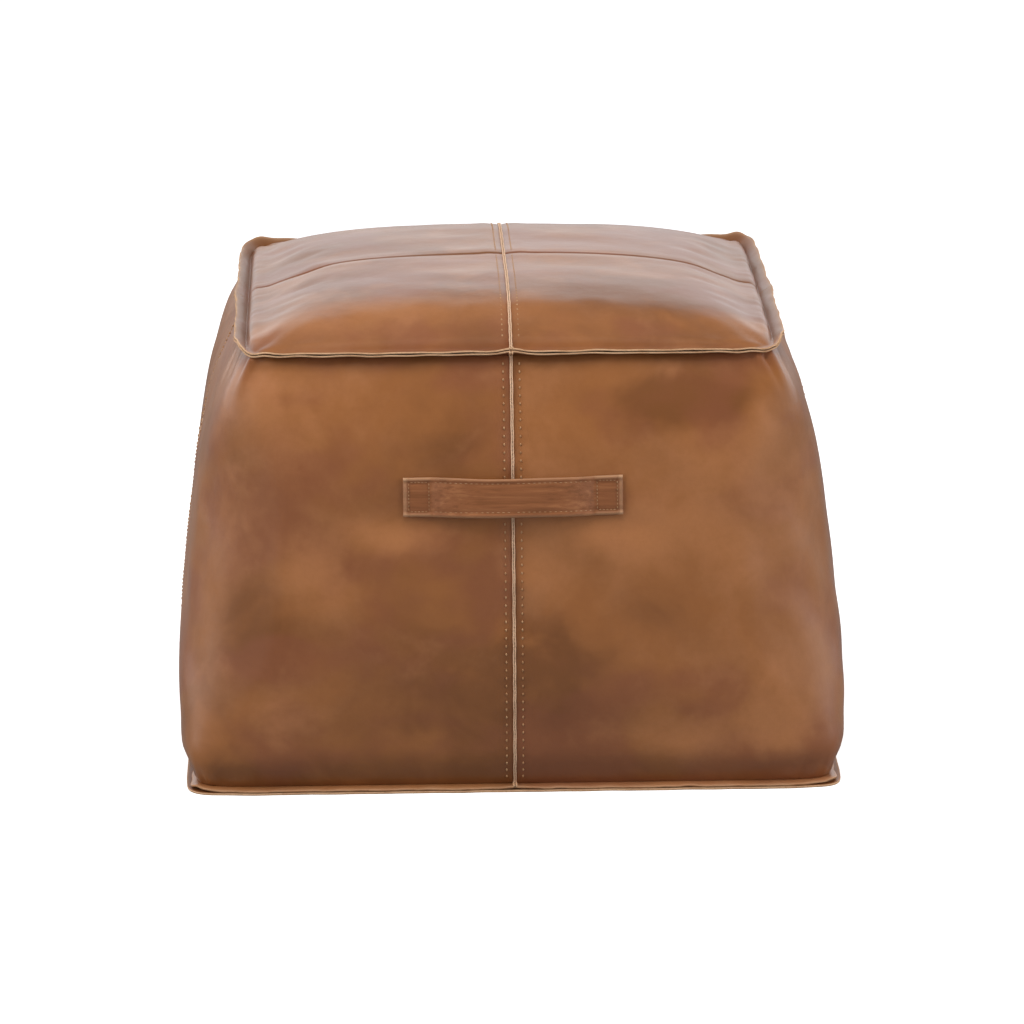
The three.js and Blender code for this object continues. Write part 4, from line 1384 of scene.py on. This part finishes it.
class POUF_OT_zip_rows(bpy.types.Operator):
    """Make the zip's two rows of coil, its tapes and its stops"""

    bl_idname = "pouf.zip_rows"
    bl_label = "Zip rows"

    def execute(self, context):
        low, high = TEETH_BOX
        pitch = bpy.context.scene.pouf_zip.tooth_pitch
        count = int((high.x - low.x) / pitch)
        for side, sign in (("front", -1), ("rear", 1)):
            bm = bmesh.new()
            middle = (low.z + high.z) / 2
            inner = abs(high.y)
            outer = abs(low.y)
            size = (pitch * 0.40, (outer - inner) * 0.49, (high.z - low.z) * 0.49, 1)
            turn = Matrix.Rotation(math.radians(12 * sign), 4, "Z") @ Matrix.Diagonal(size)
            places = np.linspace(low.x, high.x, count + 1)[:-1] + (high.x - low.x) / count / 2
            level = sign * (inner + outer) / 2
            coils = [Matrix.Translation((x, level, middle)) @ turn for x in places]
            add_beads(bm, coils, 8, 5)
            turns = np.linspace(0, math.tau, 9)[:-1]
            cord = [(0.45 * MM * math.cos(w), 0.45 * MM * math.sin(w)) for w in turns]
            x = np.linspace(low.x, high.x, 60)
            for height in (-0.55 * MM, 0.55 * MM):
                y = sign * (outer - 0.75 * MM) + 0 * x
                absorb(bm, swept(np.stack([x, y, middle + height + 0 * x], -1), *straight(x), cord))
            finished(f"zip_coil_{side}", bm, ("Nylon coil",), "root", [f"zip_teeth_{side}"])
            self.tape(side, sign)
        for side in ("left", "right"):
            bm = bmesh.new()
            boxed(bm, *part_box(f"zip_stop_{side}"), 0.3, 3)
            finished(f"zip_end_{side}", bm, ("Antique brass",), "root", [f"zip_stop_{side}"])
        return {"FINISHED"}

    def tape(self, side, sign):
        low, high = TAPE_BOX
        inner, outer = abs(high.y), abs(low.y)
        beside = [np.linspace(inner, inner + 2.2 * MM, 6), np.linspace(inner + 3 * MM, outer, 10)]
        grid_x, grid_y = np.meshgrid(np.linspace(low.x, high.x, 90), np.concatenate(beside) * sign)
        free = np.clip((np.abs(grid_y) - 6 * MM) / (10 * MM), 0, 1)
        z = (low.z + high.z) / 2 + 0.12 * MM * np.sin(grid_x * 95) * free
        points = np.stack([grid_x, grid_y, z], -1)
        if sign < 0:
            points = points[::-1]
        nodes = [f"zip_tape_{side}"]
        piece = finished(f"zip_cloth_{side}", lattice(points), ("Zip tape",), "root", nodes)
        thicken(piece, high.z - low.z, rim=0)


# The bridge that holds the pull, under the slider, in mm: along the zip from its middle, and height.
BRIDGE = ((-2, 6.6), (-2, 4.2), (-1.6, 3.5), (-0.8, 3.25), (0.8, 3.25), (1.6, 3.5), (2, 4.2), (2, 6.6))


class POUF_OT_zip_slider(bpy.types.Operator):
    """Make the slider and its pull"""

    bl_idname = "pouf.zip_slider"
    bl_label = "Zip slider"

    def execute(self, context):
        low, high = SLIDER_BOX
        plate = 1.2 * MM
        lower = 6.2 * MM
        upper = high.z - plate
        lip = 0.75 * MM
        middle = (low.x + high.x) / 2
        bm = bmesh.new()
        for z in (lower, upper):
            rounded_plate(bm, (low.x, high.x), high.y - low.y, (z, z + plate), 28, (0.55, 0.5), 0.14)
            bmesh.ops.recalc_face_normals(bm, faces=bm.faces)
        web = 0.5 * MM
        ends = low.x + 1 * MM, high.x - 1 * MM
        boxed(bm, (ends[0], -web, lower + plate / 2), (ends[1], web, high.z - plate / 2), 0.1, 1)
        ends = low.x + 2 * MM, high.x - 3 * MM
        for sign in (-1, 1):
            rims = sorted((sign * (high.y - 0.9 * MM), sign * high.y))
            for levels in ((lower + plate * 0.6, lower + plate + lip), (upper - lip, high.z - plate * 0.6)):
                boxed(bm, (ends[0], rims[0], levels[0]), (ends[1], rims[1], levels[1]), 0.3, 2)
        line = np.array([(middle + x * MM, 0, z * MM) for x, z in BRIDGE])
        along = unit(np.gradient(line, axis=0))
        sides, _ = straight(line)
        bar = [(x * 2.0, z * 0.9) for x, z in rounded_bar(1 * MM, -0.45 * MM, 0.45 * MM)]
        absorb(bm, swept(line, sides, unit(np.cross(along, sides)), bar))
        finished("zip_slider_body", bm, ("Antique brass",), "slider", ["zip_slider"])
        self.pull()
        return {"FINISHED"}

    def pull(self):
        low, high = PULL_BOX
        rod = high.x - 0.9 * MM
        middle = (low.z + high.z) / 2
        half = 0.7 * MM
        levels = middle - half, middle + half
        window = 9 * MM
        bm = bmesh.new()
        for sign in (-1, 1):
            rims = sorted((sign * (high.y - 1.5 * MM), sign * high.y))
            corner = (rod - window - 1 * MM, rims[0], levels[0])
            boxed(bm, corner, (rod + 0.3 * MM, rims[1], levels[1]), 0.3, 2)
        turn = Matrix.Translation((rod, 0, middle)) @ Matrix.Rotation(math.radians(90), 4, "X")
        pin = {"radius1": 0.85 * MM, "radius2": 0.85 * MM, "depth": high.y - low.y}
        bmesh.ops.create_cone(bm, cap_ends=True, segments=14, matrix=turn, **pin)
        ends = (low.x, rod - window + 0.2 * MM)
        top = rounded_plate(bm, ends, high.y - low.y, levels, 36, (0.6, 0.45))
        bmesh.ops.inset_region(bm, faces=top, thickness=0.9 * MM, depth=-0.25 * MM)
        bmesh.ops.recalc_face_normals(bm, faces=bm.faces)
        finished("zip_pull_tab", bm, ("Antique brass",), "pull", ["zip_pull"], smooth=False)


# ---- Handle ------------------------------------------------------------------------------------


def handle():
    return bpy.context.scene.pouf_handle


STITCH_LINE = 0.735  # where the strap's rows of stitches run, as a share of its half width
END_ROW = 4.4 * MM  # from the strap's end to the first row across it


def ripple(x):
    """The slack strap's small waves in and out."""
    return 0.25 * MM * np.sin(x * 60)


def to_wall(points):
    """Moves points from the handle's own frame to their place on the pouf."""
    place = np.array(handle_place())
    return points @ place[:3, :3].T + place[:3, 3]


def blend_strap(piece, sign):
    """Bends a piece of the strap from the cover to the handle's body, past its sewn end."""
    free = handle().reach - handle().sewn
    start = handle_place() @ Vector((sign * (free + 1 * MM), 0, 0))
    end = handle_place() @ Vector((sign * (free - 14 * MM), 0, 0))
    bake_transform(piece, "root", "handle", start=start, end=end)


def handle_gap(x):
    """Gap behind the strap at a distance from its middle."""
    free = handle().reach - handle().sewn
    share = np.minimum(np.abs(x) / free, 1)
    return handle().seat + handle().bow * (1 - share**3.4)


def handle_place():
    """The handle's own frame: X along the strap, -Y straight out of the wall, Z up the wall."""
    tall = cover().top_seam - cover().base_seam
    t = (handle().level - cover().base_seam) / tall
    step = 0.02
    slope = (wall_half(t - step) - wall_half(t + step)) / (tall * 2 * step)
    out = wall_half(t) + cover().hide / 2
    lean = Matrix.Rotation(-math.atan(float(slope)), 4, "X")
    return Matrix.Translation((0, -float(out), handle().level)) @ lean


def strap_edge(x):
    """Upper and lower edge of the strap, which narrows a little at its sewn ends and sags."""
    sag = hump(x, 52 * MM)
    half = handle().height / 2
    upper = half - 1.4 * MM * sag + 0.25 * MM * np.sin(x * 90)
    lower = -half - 0.9 * MM * sag + 0.2 * MM * np.sin(x * 70 + 1)
    return upper, lower


def strap_half(side, sign):
    """Half of the strap, from its sewn end to its middle, as a closed band."""
    reach = handle().reach
    bend = reach - 23 * MM
    x = np.concatenate([np.linspace(0, bend, 34)[:-1], np.linspace(bend, reach, 30)])
    shares = (0, 0.15, 0.3, 0.45, 0.6, 0.70, 0.76, 0.82, 0.9, 0.97, 1)
    grid_x, v = np.meshgrid(x, [-share for share in shares[:0:-1]] + list(shares))
    top, bottom = strap_edge(grid_x * sign)
    z = np.where(v > 0, v * top, -v * bottom)
    thick = handle().thickness
    sewn = np.clip((grid_x - (reach - handle().sewn)) / (3 * MM), 0, 1)
    bead = hump(np.abs(v) - 0.90, 0.10)
    groove = hump(np.abs(v) - STITCH_LINE, 0.045)
    end = reach - grid_x
    rim = sewn * hump(end - 1.6 * MM, 1.5 * MM)
    end_groove = sewn * hump(end - END_ROW, 0.9 * MM)
    inner_groove = sewn * hump(end - 19.6 * MM, 1.1 * MM) * (np.abs(v) < 0.8)
    front = thick * (0.80 + 0.20 * bead - 0.16 * groove)
    front = front + sewn * (0.35 * MM * bead - 0.5 * MM * groove)
    front = front + 0.55 * MM * rim - 0.7 * MM * end_groove
    front = front - 0.45 * MM * inner_groove - 0.25 * MM * sewn
    front = front + (1 - sewn) * 0.22 * MM * np.sin(v * 9 + grid_x * sign * 14) * (1 - np.abs(v))
    roll = np.clip((1 - np.abs(v)) / 0.10, 0, 1) ** 0.5
    round_end = np.clip(end / (1.2 * MM), 0, 1) ** 0.5
    front = mix(0.45 * thick, front, np.minimum(roll, mix(0.3, 1, round_end)))
    gap = handle_gap(grid_x) + ripple(grid_x * sign) * (1 - sewn)
    back = 0.04 * thick + 0.30 * thick * (1 - np.minimum(roll, round_end))
    outer = np.stack([grid_x * sign, -(gap + front), z], -1)
    inner = np.stack([grid_x * sign, -(gap + back), z], -1)
    loop = np.concatenate([outer, inner[::-1], outer[:1]])
    wear_outer = 0.42 * hump(np.abs(v) - 0.96, 0.055) + 0.35 * rim + 0.25 * sewn * bead
    wear = np.concatenate([wear_outer, 0.1 + 0 * wear_outer, wear_outer[:1]])
    bm = lattice(to_wall(loop), wear=np.clip(wear, 0, 1))
    close_ends(bm)
    nodes = [f"handle_end_{side}"] + (["handle_strap"] if sign > 0 else [])
    piece = finished(f"handle_{side}", bm, ("Strap leather",), None, nodes)
    blend_strap(piece, sign)


def strap_stitches(side, sign):
    """Box stitching round a sewn end, which stays with the cover."""
    first = handle().reach - END_ROW
    last = handle().reach - handle().sewn + 2.4 * MM
    rows = (
        (first, STITCH_LINE, first, -STITCH_LINE),
        (first, STITCH_LINE, last, STITCH_LINE),
        (first, -STITCH_LINE, last, -STITCH_LINE),
        (last, STITCH_LINE, last, -STITCH_LINE),
    )
    out = np.array(handle_place())[:3, :3] @ np.array([0, -1.0, 0])
    bm = bmesh.new()
    for x0, v0, x1, v1 in rows:
        x = np.linspace(x0, x1, 24)
        z = np.linspace(v0, v1, 24) * handle().height / 2
        y = -(handle_gap(x) + handle().thickness * 0.70)
        line = to_wall(np.stack([x * sign, y, z], -1))
        add_stitches(bm, line, np.tile(out, (len(x), 1)), BOX_STITCH, 0.1)
    finished(f"handle_stitches_{side}", bm, ("Thread",), "root")


def strap_rows(side, sign):
    """The two rows of stitches along one half of the strap."""
    turned = np.array(handle_place())[:3, :3]
    bm = bmesh.new()
    for v in (-STITCH_LINE, STITCH_LINE):
        x = np.linspace(1.4 * MM, handle().reach - handle().sewn - 1 * MM, 60)
        top, bottom = strap_edge(x * sign)
        z = v * top if v > 0 else -v * bottom
        y = -(handle_gap(x) + ripple(x * sign) + handle().thickness * 0.66)
        line = np.stack([x * sign, y, z], -1)
        out = np.gradient(line, axis=0)
        ups = unit(np.stack([out[:, 1] * sign, -np.abs(out[:, 0]), 0 * x], -1))
        add_stitches(bm, to_wall(line), ups @ turned.T, STRAP_STITCH, 0.15)
    piece = finished(f"handle_rows_{side}", bm, ("Thread",), None)
    blend_strap(piece, sign)


class POUF_OT_handle(bpy.types.Operator):
    """Make the strap handle with its rolled edges and box-stitched ends"""

    bl_idname = "pouf.handle"
    bl_label = "Handle"

    def execute(self, context):
        for side, sign in (("left", -1), ("right", 1)):
            strap_half(side, sign)
            strap_stitches(side, sign)
            strap_rows(side, sign)
        return {"FINISHED"}


# ---- Inside ------------------------------------------------------------------------------------


TAPE_HALF = 11 * MM
TAPE_THICKNESS = 0.7 * MM


def tape(name, line, reach):
    """A woven tape laid behind a seam, on the inside of the cover."""
    depth = cover().hide + 1.0 * MM
    beside, along = np.meshgrid(np.linspace(-TAPE_HALF, TAPE_HALF, 9), np.linspace(*reach, 90))
    points, ups = line(beside, along)
    points = points - ups * depth
    piece = finished(name, lattice(points), ("Seam tape",), "root", [name])
    thicken(piece, TAPE_THICKNESS)


class POUF_OT_inside(bpy.types.Operator):
    """Make the hidden tapes and give the patches, the inner bag and the filling their finishes"""

    bl_idname = "pouf.inside"
    bl_label = "Inside"

    def execute(self, context):
        for number, face in enumerate(FACES):
            tape(f"wall_seam_tape_{face}", lambda beside, t: wall_line(2.0 * number, beside, t), (0.06, 0.94))
        seams_above = (
            ("long", True, (-0.84, 0.84)),
            ("left", False, (-0.84, -0.07)),
            ("right", False, (0.07, 0.84)),
        )
        for name, along_y, reach in seams_above:
            tape(f"top_seam_tape_{name}", lambda beside, s: crown_line(along_y, beside, s), reach)
        finishes = {
            "handle_patch": "Seam tape",
            "inner_bag": "Bag cotton",
            "foam_block": "Foam",
            "top_pad": "Wadding",
        }
        for name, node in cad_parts.items():
            for start, finish in finishes.items():
                if name.startswith(start):
                    node.data.materials.clear()
                    node.data.materials.append(finish_of(finish))
        return {"FINISHED"}


# ---- Stage -------------------------------------------------------------------------------------


FLOOR_RADIUS = 14
FLOOR_GLOW = 0.62
# Name, place, side in metres and power in watts of each lamp. All point at LAMP_AIM.
LAMPS = (
    ("Overhead", (-0.3, -1.1, 3.2), 2.4, 60),
    ("Left", (-3.0, -1.6, 1.3), 3.0, 54),
    ("Right", (3.0, -1.6, 1.3), 3.0, 58),
)
LAMP_AIM = (0, 0, 0.15)
CAMERA_ANGLES = (13.715, -1.471, -0.354)  # up from level, round from the front, and roll, in degrees
CAMERA_AIM = (0.0053, 0, 0.1582)
CAMERA_DISTANCE = 5.054
LENS = 224.1


class POUF_OT_stage(bpy.types.Operator):
    """Make the floor, the soft light and the camera"""

    bl_idname = "pouf.stage"
    bl_label = "Stage"

    def execute(self, context):
        scene = context.scene
        scene.view_settings.view_transform = "Standard"
        self.floor()
        self.sky(scene)
        for lamp in LAMPS:
            self.lamp(*lamp)
        self.camera(scene)
        return {"FINISHED"}

    def floor(self):
        bm = bmesh.new()
        bmesh.ops.create_circle(bm, cap_ends=True, segments=96, radius=FLOOR_RADIUS)
        mesh = bpy.data.meshes.new("floor")
        bm.to_mesh(mesh)
        bm.free()
        floor = bpy.data.objects.new("floor", mesh)
        bpy.context.scene.collection.objects.link(floor)
        paint = Paint("Pale floor")
        pale = paint.node("ShaderNodeBsdfDiffuse", None, {"Color": (0.88, 0.88, 0.88, 1)})
        glow = paint.node("ShaderNodeEmission", None, {"Color": (1, 1, 1, 1), "Strength": FLOOR_GLOW})
        bright = paint.node("ShaderNodeAddShader", None, {0: pale.outputs[0], 1: glow.outputs[0]})
        dim = paint.node("ShaderNodeBsdfDiffuse", None, {"Color": (0.30, 0.30, 0.30, 1)})
        seen = paint.node("ShaderNodeLightPath").outputs["Is Camera Ray"]
        both = paint.node("ShaderNodeMixShader", None, {0: seen, 1: dim.outputs[0], 2: bright.outputs[0]})
        paint.node("ShaderNodeOutputMaterial", None, {"Surface": both.outputs[0]})
        mesh.materials.append(paint.owner)

    def sky(self, scene):
        """A pale sky, brighter near the horizon and dimmer on the camera's side."""
        paint = Paint("Studio", bpy.data.worlds)
        scene.world = paint.owner
        sides = paint.node("ShaderNodeSeparateXYZ", None, {0: paint.coordinates["Generated"]})
        band = paint.between(sides.outputs[2], 0.30, 0.75, 1.4, 0.30)
        rear = paint.between(sides.outputs[1], -0.50, 0.15, 0.14, 1.0)
        inputs = {"Color": (0.92, 0.965, 1.0, 1), "Strength": band * rear}
        light = paint.node("ShaderNodeBackground", None, inputs)
        paint.node("ShaderNodeOutputWorld", None, {"Surface": light.outputs[0]})

    def lamp(self, name, place, size, power):
        data = bpy.data.lights.new(name, "AREA")
        data.size = size
        data.energy = power
        lamp = bpy.data.objects.new(name, data)
        lamp.visible_glossy = False
        bpy.context.scene.collection.objects.link(lamp)
        lamp.location = place
        lamp.rotation_mode = "QUATERNION"
        lamp.rotation_quaternion = (Vector(LAMP_AIM) - Vector(place)).to_track_quat("-Z", "Y")

    def camera(self, scene):
        elevation, azimuth, roll = (math.radians(angle) for angle in CAMERA_ANGLES)
        level = math.cos(elevation)
        back = Vector((math.sin(azimuth) * level, -math.cos(azimuth) * level, math.sin(elevation)))
        right = (-back).cross(Vector((0, 0, 1))).normalized()
        up = right.cross(-back).normalized()
        turned_right = right * math.cos(roll) + up * math.sin(roll)
        turned_up = up * math.cos(roll) - right * math.sin(roll)
        data = bpy.data.cameras.new("Camera")
        data.sensor_width = 36
        data.lens = LENS
        data.clip_end = 100
        camera = bpy.data.objects.new("Camera", data)
        scene.collection.objects.link(camera)
        place = Vector(CAMERA_AIM) + back * CAMERA_DISTANCE
        turn = Matrix((turned_right, turned_up, back)).transposed()
        camera.matrix_world = Matrix.Translation(place) @ turn.to_4x4()
        scene.camera = camera


# ---- Panel and registration --------------------------------------------------------------------

OPERATORS = (
    POUF_OT_stuffing,
    POUF_OT_side_cover,
    POUF_OT_top_cover,
    POUF_OT_wall_seams,
    POUF_OT_top_seams,
    POUF_OT_flange_details,
    POUF_OT_base,
    POUF_OT_zip_rows,
    POUF_OT_zip_slider,
    POUF_OT_handle,
    POUF_OT_inside,
    POUF_OT_stage,
)

GROUPS = {
    "pouf_cover": CoverSizes,
    "pouf_seams": SeamSizes,
    "pouf_handle": HandleSizes,
    "pouf_zip": ZipSizes,
    "pouf_colours": Colours,
}


class POUF_PT_pieces(bpy.types.Panel):
    """Lists the pouf's pieces"""

    bl_idname = "POUF_PT_pieces"
    bl_label = "Leather Pouf"
    bl_space_type = "VIEW_3D"
    bl_region_type = "UI"
    bl_category = "Pouf"

    def draw(self, context):
        for operator in OPERATORS:
            self.layout.operator(operator.bl_idname)


def register():
    for group in GROUPS.values():
        bpy.utils.register_class(group)
    for name, group in GROUPS.items():
        setattr(bpy.types.Scene, name, PointerProperty(type=group))
    for operator in OPERATORS:
        bpy.utils.register_class(operator)
    bpy.utils.register_class(POUF_PT_pieces)


def unregister():
    bpy.utils.unregister_class(POUF_PT_pieces)
    for operator in reversed(OPERATORS):
        bpy.utils.unregister_class(operator)
    for name, group in GROUPS.items():
        delattr(bpy.types.Scene, name)
        bpy.utils.unregister_class(group)


def main():
    register()
    for operator in OPERATORS:
        getattr(bpy.ops.pouf, operator.bl_idname.removeprefix("pouf."))()


if __name__ == "__main__":
    main()
